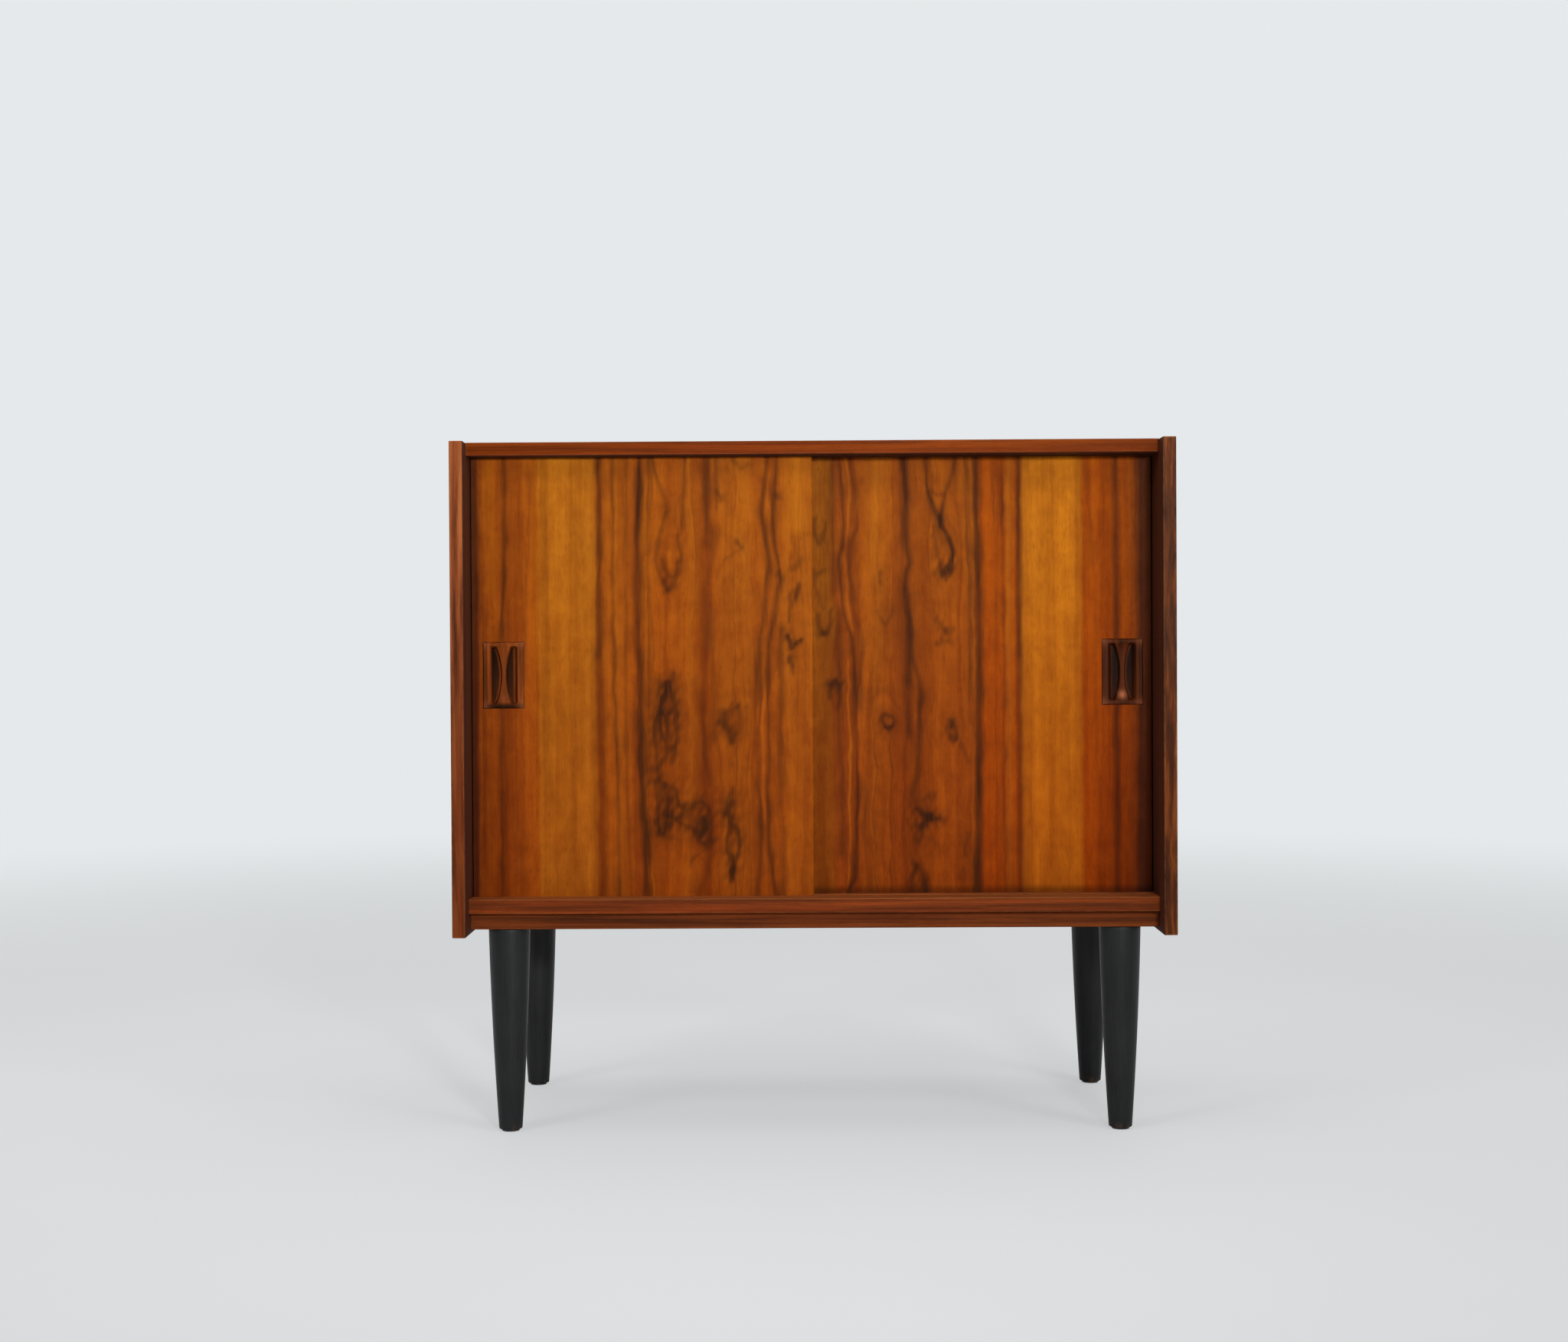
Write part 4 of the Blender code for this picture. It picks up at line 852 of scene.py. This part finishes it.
def build_screw(node, outward, finish):
    """A slotted countersunk screw: a square grid drawn round for its head, then rings down to the tip."""
    low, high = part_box(node)
    axis = np.abs(outward).argmax()
    flip = outward[axis]
    centre = np.array((low + high) / 2)
    length = high[axis] - low[axis]
    head = (high - low)[(axis + 1) % 3] / 2
    side = np.linspace(-1, 1, HEAD_STEPS)
    s, t = np.meshgrid(side, side, indexing="ij")
    p = head * s * np.sqrt(1 - t**2 / 2)
    q = head * t * np.sqrt(1 - s**2 / 2)
    depth = SLOT_DEPTH * (1 - soft_step(np.abs(p) - SLOT_HALF, SLOT_HALF))
    face = np.stack([p, q, depth], -1).reshape(-1, 3)
    rim = face[grid_rim(*s.shape), :2]
    steps = (
        (1.0, HEAD_LAND),
        (SHANK_SHARE, HEAD_DEPTH),
        (SHANK_SHARE, length - TIP_LENGTH),
        (TIP_SHARE, length),
    )
    rings = [np.column_stack([rim * share, np.full(len(rim), down)]) for share, down in steps]
    local = np.vstack([face, *rings])
    points = np.empty_like(local)
    points[:, axis] = (high[axis] if flip > 0 else low[axis]) - flip * local[:, 2]
    points[:, (axis + 1) % 3] = centre[(axis + 1) % 3] + local[:, 0]
    points[:, (axis + 2) % 3] = centre[(axis + 2) % 3] + local[:, 1]
    faces = block_faces(*s.shape, rings=len(rings))
    mesh_piece(f"{node}_slotted", points, faces, finish, "case", node, "steel")


# Finishes

def tint(red, green, blue):
    """A colour of 0 to 255 steps as the light it reflects."""
    shares = np.array((red, green, blue)) / 255
    low = shares / 12.92
    high = ((shares + 0.055) / 1.055) ** 2.4
    return (*np.where(shares < 0.04045, low, high).tolist(), 1.0)


class Finish:
    """A material, or the world, under way: nodes are put in and wired."""

    def __init__(self, owner):
        owner.use_nodes = True
        self.owner = owner
        self.tree = owner.node_tree

    def feed(self, socket, value):
        """Wire an output to a socket, or set the socket. Colours are in 0 to 255 steps."""
        if isinstance(value, Wire):
            self.tree.links.new(value.socket, socket)
        else:
            socket.default_value = tint(*value) if socket.type == "RGBA" else value

    def put(self, kind, inputs, **settings):
        """A node with its settings made and its inputs wired; returns its outputs by name."""
        node = self.tree.nodes.new(kind)
        for name, value in settings.items():
            setattr(node, name, value)
        sockets = {socket.identifier: socket for socket in node.inputs}
        for name, value in inputs.items():
            self.feed(sockets[name], value)
        return {socket.identifier: Wire(self, socket) for socket in node.outputs}

    def place(self):
        """Object coordinates."""
        return self.put("ShaderNodeTexCoord", {})["Object"]

    def attribute(self, name):
        """A piece's own three numbers."""
        return self.put("ShaderNodeAttribute", {}, attribute_name=name)["Vector"].split()

    def join(self, x, y, z):
        """Three numbers as one place."""
        return self.put("ShaderNodeCombineXYZ", {"X": x, "Y": y, "Z": z})["Vector"]

    def work(self, operation, *values):
        """A sum, product and the like."""
        inputs = dict(zip(("Value", "Value_001"), values))
        return self.put("ShaderNodeMath", inputs, operation=operation)["Value"]

    def blend(self, share, first, second, how="MIX"):
        """Two colours, the second by its share."""
        inputs = {"Factor_Float": share, "A_Color": first, "B_Color": second}
        return self.put("ShaderNodeMix", inputs, data_type="RGBA", blend_type=how)["Result_Color"]

    def mix(self, share, first, second):
        """Two shaders, the second by its share."""
        inputs = {"Fac": share, "Shader": first, "Shader_001": second}
        return self.put("ShaderNodeMixShader", inputs)["Shader"]

    def coat(self, colour, roughness, height=None, relief=0.0, **sockets):
        """Wire the usual shader: colour, roughness, a relief in metres, and plain sockets by name."""
        shader = self.tree.nodes["Principled BSDF"]
        sockets |= {"Base_Color": colour, "Roughness": roughness}
        if height:
            bump = {"Height": height, "Distance": relief, "Strength": 1.0}
            sockets["Normal"] = self.put("ShaderNodeBump", bump)["Normal"]
        for name, value in sockets.items():
            self.feed(shader.inputs[name.replace("_", " ")], value)
        return self.owner

    def lacquer(self, colour, height, gloss):
        """A coat that is duller in open pores than on raised fibres."""
        roughness = height.remap(*LACQUER_ROUGH)
        return self.coat(colour, roughness, height, LACQUER_RELIEF, Specular_IOR_Level=gloss)


class Wire:
    """A node's output. What is worked out from it puts in the next node and returns that node's output."""

    def __init__(self, finish, socket):
        self.finish = finish
        self.socket = socket

    def __add__(self, other):
        return self.finish.work("ADD", self, other)

    def __sub__(self, other):
        return self.finish.work("SUBTRACT", self, other)

    def __rsub__(self, other):
        return self.finish.work("SUBTRACT", other, self)

    def __mul__(self, other):
        return self.finish.work("MULTIPLY", self, other)

    def __abs__(self):
        return self.finish.work("ABSOLUTE", self)

    def most(self, other):
        """The greater of two."""
        return self.finish.work("MAXIMUM", self, other)

    def split(self):
        """A place as three numbers."""
        return self.finish.put("ShaderNodeSeparateXYZ", {"Vector": self}).values()

    def noise(self, repeats, detail, rough, bend=0.0):
        """A noise with so many repeats in a metre each way."""
        place = self.finish.put("ShaderNodeMapping", {"Vector": self, "Scale": repeats})["Vector"]
        inputs = {"Vector": place, "Scale": 1.0, "Detail": detail, "Roughness": rough, "Distortion": bend}
        return self.finish.put("ShaderNodeTexNoise", inputs)["Fac"]

    def remap(self, low, high, to_low=0.0, to_high=1.0, smooth=False):
        """From one reach to another, clamped."""
        inputs = {"Value": self, "From Min": low, "From Max": high, "To Min": to_low, "To Max": to_high}
        shape = "SMOOTHSTEP" if smooth else "LINEAR"
        return self.finish.put("ShaderNodeMapRange", inputs, interpolation_type=shape)["Result"]

    def span(self, low, high):
        """A noise's reach, from one value to another."""
        return self.remap(*NOISE_REACH, low, high)

    def blend(self, first, second, how="MIX"):
        """Two colours, the second by this share."""
        return self.finish.blend(self, first, second, how)

    def times(self, colour):
        """A colour multiplied by another."""
        return self.finish.blend(1.0, self, colour, "MULTIPLY")

    def ramp(self, stops):
        """A ramp of colours; stops are (value, colour of 0 to 255 steps)."""
        colour = self.finish.put("ShaderNodeValToRGB", {"Fac": self})["Color"]
        points = colour.socket.node.color_ramp.elements
        while len(points) < len(stops):
            points.new(1.0)
        for point, (at, tone) in zip(points, stops):
            point.position = at
            point.color = tint(*tone)
        return colour

    def channels(self, light):
        """A noise as a colour to multiply by, each channel from its least to its most light."""
        inputs = {channel: self.span(*ends) for channel, ends in light.items()}
        return self.finish.put("ShaderNodeCombineColor", inputs)["Color"]

    def grey(self):
        """A value as a grey colour."""
        inputs = dict.fromkeys(("Red", "Green", "Blue"), self)
        return self.finish.put("ShaderNodeCombineColor", inputs)["Color"]


def wood_detail(grain):
    """Fine figure along the grain: streaks of every width, clustered dark lines, fibres and open pores.

    Returns a colour to multiply by, redder where it is darker, the share of lines and pores, and a height.
    """
    fibre = grain.noise(*FIBRES)
    pore = grain.noise(*PORES).remap(*PORE_ENDS)
    line = grain.noise(*LINES).remap(*LINE_ENDS) * grain.noise(*LINE_CLUSTERS).remap(*CLUSTER_ENDS)
    tone = grain.noise(*STREAKS).channels(STREAK_LIGHT).times(fibre.span(*FIBRE_LIGHT).grey())
    return tone, line.most(pore * PORE_DARKNESS), fibre - pore


def height_shade(colour, z, start, end, shade):
    """Painted shade: upright wood gets darker from one height to another, partly its own deeper tone."""
    return z.remap(start, end, smooth=True).blend(colour, shade, "MULTIPLY")


def door_finish(name, stripes, shades):
    """Figured veneer, all from the figure attribute.

    Stripes by growth, painted shade by height, streaks and pores, a cross shimmer with clouds, mottle, pale
    lines, then veins whose strength is uneven.
    """
    finish = Finish(bpy.data.materials.new(name))
    growth, vein, along = finish.attribute("figure")
    grain = finish.join(growth, 0.0, along)
    start, end = STRIPE_SPAN
    stops = [((at - start) / (end - start), WOOD[tone]) for at, tone in stripes]
    colour = growth.remap(start / 1000, end / 1000).ramp(stops)
    # Painted shade by height, partly the wood's own deeper tone
    for shade in shades:
        colour = height_shade(colour, along, *shade)
    tone, dark, height = wood_detail(grain)
    shimmer = grain.noise(*SHIMMER).span(*SHIMMER_LIGHT)
    cloud = grain.noise(*CLOUDS).span(*CLOUD_LIGHT)
    colour = colour.times(tone).times((shimmer + cloud).grey())
    colour = colour.times(grain.noise(*MOTTLE).channels(MOTTLE_LIGHT))
    colour = vein.remap(0.0, -1.0).blend(colour, WOOD["gold"])
    veined = vein.remap(0.0, 1.0) * grain.noise(*RAGGED_VEINS).span(*RAGGED_SHARES)
    colour = veined.most(dark).blend(colour, VEIN_TINT)
    return finish.lacquer(colour, height, DOOR_GLOSS)


def edge_share(place, low, high):
    """1 on a board's edges, falling to 0: the middle one of the distances to its three pairs of faces."""
    sides = zip(place.split(), low, high)
    first, second, third = ((top - base) / 2 - abs(axis - (base + top) / 2) for axis, base, top in sides)
    largest = first.most(second).most(third)
    return (first + second + third - largest).remap(0.0, EDGE_REACH, 1.0, 0.0)


def face_depth(place, low, high, face):
    """Distance into a board from its inside face, the face below or the face above."""
    x, _, z = place.split()
    if face == "inside":
        return abs(x) - min(abs(low.x), abs(high.x))
    return z - low.z if face == "below" else high.z - z


def dress(material, *nodes):
    """Give solids that keep their shape a finish."""
    for node in nodes:
        mesh = NODES[node].data
        mesh.materials.clear()
        mesh.materials.append(material)


def dress_board(
    name, node, length, tones, shift, pitch=30.0, run=0.7, wear=0.45, face=None, shade=FOOT_SHADE
):
    """Straight-grained rosewood on a board: colour bands across the grain, streaks, pores, paler worn edges.

    The grain runs along the board's length. Shift tells boards apart. The bands' repeats in a metre are the
    pitch across and the run along. One face may differ: inside it is darker, partly a darker stain and
    partly painted shade; below it has painted shade; above it has painted light.
    """
    finish = Finish(bpy.data.materials.new(name))
    place = finish.place()
    axes = list(place.split())
    along = axes.pop("xyz".index(length))
    out, side = (axis + shift for axis in axes)
    bent = finish.join(out, side, along).noise(*BOARD_WANDER) * BOARD_BEND + out
    grain = finish.join(bent, side, along)
    colour = grain.noise((pitch, pitch, run), *BOARD_BANDS).ramp(tones)
    # Painted shade by height on upright boards, partly their own deeper tone
    if length == "z":
        colour = height_shade(colour, along, *shade)
    tone, dark, height = wood_detail(grain)
    colour = dark.blend(colour.times(tone), VEIN_TINT)
    low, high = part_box(node)
    worn = edge_share(place, low, high) * place.noise(*WORN_PATCHES).remap(*WORN_ENDS)
    colour = (worn * wear).blend(colour, WORN_AND_LIT_TINT)
    if face:
        most, face_tint = FACES[face]
        colour = face_depth(place, low, high, face).remap(*FACE_REACH, most, 0.0).blend(colour, face_tint)
    dress(finish.lacquer(colour, height, BOARD_GLOSS), node)


def pull_finish(name, tints):
    """Oiled dark rosewood: grain, painted shade in hollows, painted highlights and wear on corners and rib.
    """
    finish = Finish(bpy.data.materials.new(name))
    place = finish.place()
    hollow, sheen_and_wear, _ = finish.attribute("carving")
    tone, dark, height = wood_detail(place)
    bands = place.noise(*PULL_BANDS)
    colour = bands.ramp(tuple(zip(PULL_BAND_ENDS, tints))).times(tone)
    colour = (dark * PULL_LINE_SHARE).blend(colour, VEIN_TINT)
    # Painted shade in the hollows, along the foot and on the rim nearer the cabinet's side
    colour = hollow.remap(*HOLLOW_SHADE_ENDS, smooth=True).blend(colour, HOLLOW_SHADE_TINT)
    # Painted highlight, partly wear, on the corners and the rib's foot
    colour = sheen_and_wear.blend(colour, HIGHLIGHT_AND_WEAR_TINT)
    return finish.coat(colour, bands.span(*PULL_ROUGH), height, PULL_RELIEF, Specular_IOR_Level=PULL_GLOSS)


def leg_finish():
    """Black stain under satin lacquer: faint upright grain, and rubbed brown at the foot."""
    finish = Finish(bpy.data.materials.new("black_leg_lacquer"))
    place = finish.place()
    _, _, z = place.split()
    grain = place.noise(*LEG_GRAIN)
    cloud = place.noise(*LEG_CLOUDS)
    colour = grain.ramp(tuple(zip(NOISE_REACH, LEG_TINTS)))
    colour = cloud.remap(*CLOUD_ENDS, 0.0, LEG_CLOUD_SHARE).blend(colour, LEG_CLOUD_TINT)
    scuffed = z.remap(*LEG_SCUFF_HEIGHTS, 1.0, 0.0) * place.noise(*LEG_SCUFFS).remap(*SCUFF_ENDS)
    colour = (scuffed * LEG_SCUFF_SHARE).blend(colour, LEG_SCUFF_TINT)
    return finish.coat(colour, cloud.span(*LEG_ROUGH), grain, LEG_RELIEF, Specular_IOR_Level=LEG_GLOSS)


def metal_finish(name, tints, rough, brushing):
    """Metal with fine brushed scratches and duller patches."""
    finish = Finish(bpy.data.materials.new(name))
    place = finish.place()
    scratch = place.noise(brushing, *METAL_SCRATCHES)
    patch = place.noise(*METAL_PATCHES)
    roughness = patch.span(rough, rough + METAL_DULLING) + scratch.span(*METAL_SCRATCH_ROUGH)
    colour = patch.remap(*CLOUD_ENDS).blend(*tints)
    return finish.coat(colour, roughness, scratch, METAL_RELIEF, Metallic=1.0)


def nylon_finish():
    """Dark moulded nylon with a fine satin texture."""
    finish = Finish(bpy.data.materials.new("dark_nylon_glide"))
    place = finish.place()
    speck = place.noise(*NYLON_SPECKS)
    colour = place.noise(*NYLON_CLOUDS).remap(*CLOUD_ENDS).blend(*NYLON_TINTS)
    return finish.coat(colour, speck.span(*NYLON_ROUGH), speck, NYLON_RELIEF)


def dress_fittings():
    """Finishes for pins, bolts, inserts, runners and glides, and the slotted screws."""
    brass = metal_finish("pin_brass", BRASS_TINTS, BRASS_ROUGH, BRASS_BRUSHING)
    steel = metal_finish("zinc_steel", STEEL_TINTS, STEEL_ROUGH, STEEL_BRUSHING)
    dress(brass, *[node for node in NODES if "_shelf_pin_" in node])
    dress(steel, *[node for node in NODES if node.endswith(("_leg_bolt", "_leg_insert"))])
    dress(nylon_finish(), *[node for node in NODES if "_runner_" in node or node.endswith("_foot_glide")])
    for start, outward in (("back_screw_", (0, 1, 0)), ("track_screw_", (0, 0, -1))):
        for node in [node for node in NODES if node.startswith(start)]:
            build_screw(node, outward, steel)


# Studio

def add_camera():
    """The photograph's viewpoint, level apart from a slight tip, turn and roll."""
    turn, tip, roll = (math.radians(angle) for angle in CAMERA_ANGLES)
    aim = Matrix.Rotation(-turn, 4, "Z") @ Matrix.Rotation(math.pi / 2 - tip, 4, "X")
    camera = bpy.data.objects.new("viewpoint", bpy.data.cameras.new("viewpoint"))
    camera.data.sensor_fit = "HORIZONTAL"
    camera.data.sensor_width = SENSOR_WIDTH
    camera.data.lens = CAMERA_LENS
    camera.matrix_world = Matrix.Translation(CAMERA_PLACE) @ aim @ Matrix.Rotation(roll, 4, "Z")
    bpy.context.scene.collection.objects.link(camera)
    bpy.context.scene.camera = camera


def add_softbox(name, place, aim, size, power, fan):
    """A soft lamp that faces a point."""
    lamp = bpy.data.lights.new(name, "AREA")
    lamp.shape = "RECTANGLE"
    lamp.size, lamp.size_y = size
    lamp.energy = power
    lamp.spread = math.radians(fan)
    holder = bpy.data.objects.new(name, lamp)
    holder.location = place
    holder.rotation_euler = (Vector(aim) - Vector(place)).to_track_quat("-Z", "Y").to_euler()
    bpy.context.scene.collection.objects.link(holder)


def add_surroundings():
    """A pale even surround: what the camera and reflections see, and dimmer white light on the cabinet."""
    surround = Finish(bpy.data.worlds.new("pale_surround"))
    bpy.context.scene.world = surround.owner
    surround.tree.nodes.clear()
    rays = surround.put("ShaderNodeLightPath", {})
    looked_at = rays["Is Camera Ray"].most(rays["Is Glossy Ray"]).most(rays["Is Transmission Ray"])
    lit = surround.put("ShaderNodeBackground", {"Color": WHITE, "Strength": SURROUND_LIGHT})["Background"]
    seen = surround.put("ShaderNodeBackground", {"Color": BACKDROP_TINT, "Strength": 1.0})["Background"]
    surround.put("ShaderNodeOutputWorld", {"Surface": surround.mix(looked_at, lit, seen)})


def floor_finish():
    """Pale faintly clouded floor, lifted towards the backdrop's paleness and clear at its rim."""
    finish = Finish(bpy.data.materials.new("pale_floor"))
    place = finish.place()
    distance = finish.put("ShaderNodeVectorMath", {"Vector": place}, operation="LENGTH")["Value"]
    finish.coat(place.noise(*FLOOR_CLOUDS).blend(FLOOR_TINT, FLOOR_TINT_WARM), FLOOR_ROUGH)
    pale = Wire(finish, finish.tree.nodes["Principled BSDF"].outputs["BSDF"])
    clear = finish.put("ShaderNodeBsdfTransparent", {})["BSDF"]
    glow = finish.put("ShaderNodeEmission", {"Color": BACKDROP_TINT, "Strength": 1.0})["Emission"]
    seen = finish.put("ShaderNodeLightPath", {})["Is Camera Ray"]
    lifted = finish.mix(seen * FLOOR_GLOW, pale, glow)
    faded = finish.mix(distance.remap(*FLOOR_FADE, smooth=True), lifted, clear)
    finish.feed(finish.tree.nodes["Material Output"].inputs["Surface"], faded)
    return finish.owner


def add_floor():
    """A pale round floor: rings of points round its middle."""
    rings = np.concatenate([np.linspace(*ring) for ring in FLOOR_RINGS])
    turn = np.linspace(0, 2 * math.pi, FLOOR_SIDES, endpoint=False)
    x, y = np.outer(rings, np.cos(turn)), np.outer(rings, np.sin(turn))
    points = np.stack([x, y, np.full_like(x, FLOOR_LEVEL)], -1).reshape(-1, 3)
    faces = grid_faces(len(rings), len(turn), wrap_columns=True) + [list(range(len(turn)))]
    mesh = bpy.data.meshes.new("pale_floor")
    mesh.from_pydata(points, [], faces)
    mesh.materials.append(floor_finish())
    floor = bpy.data.objects.new("pale_floor", mesh)
    bpy.context.scene.collection.objects.link(floor)


bpy.context.scene.view_settings.view_transform = "Standard"
add_camera()
add_surroundings()
add_floor()
for softbox in SOFTBOXES:
    add_softbox(*softbox)

build_door("left", LEFT_STRIPES, LEFT_KNOTS, LEFT_VEINS, LEFT_STROKES, LEFT_PALE)
build_door("right", RIGHT_STRIPES, RIGHT_KNOTS, RIGHT_VEINS, RIGHT_STROKES, RIGHT_PALE)
for side in SIGNS:
    build_pull(side)
legs = leg_finish()
for node in [node for node in NODES if node.endswith("_leg")]:
    build_leg(node, legs)
for node, (name, length, tones, shift, more) in BOARDS.items():
    dress_board(name, node, length, tones, shift, **more)
dress_fittings()
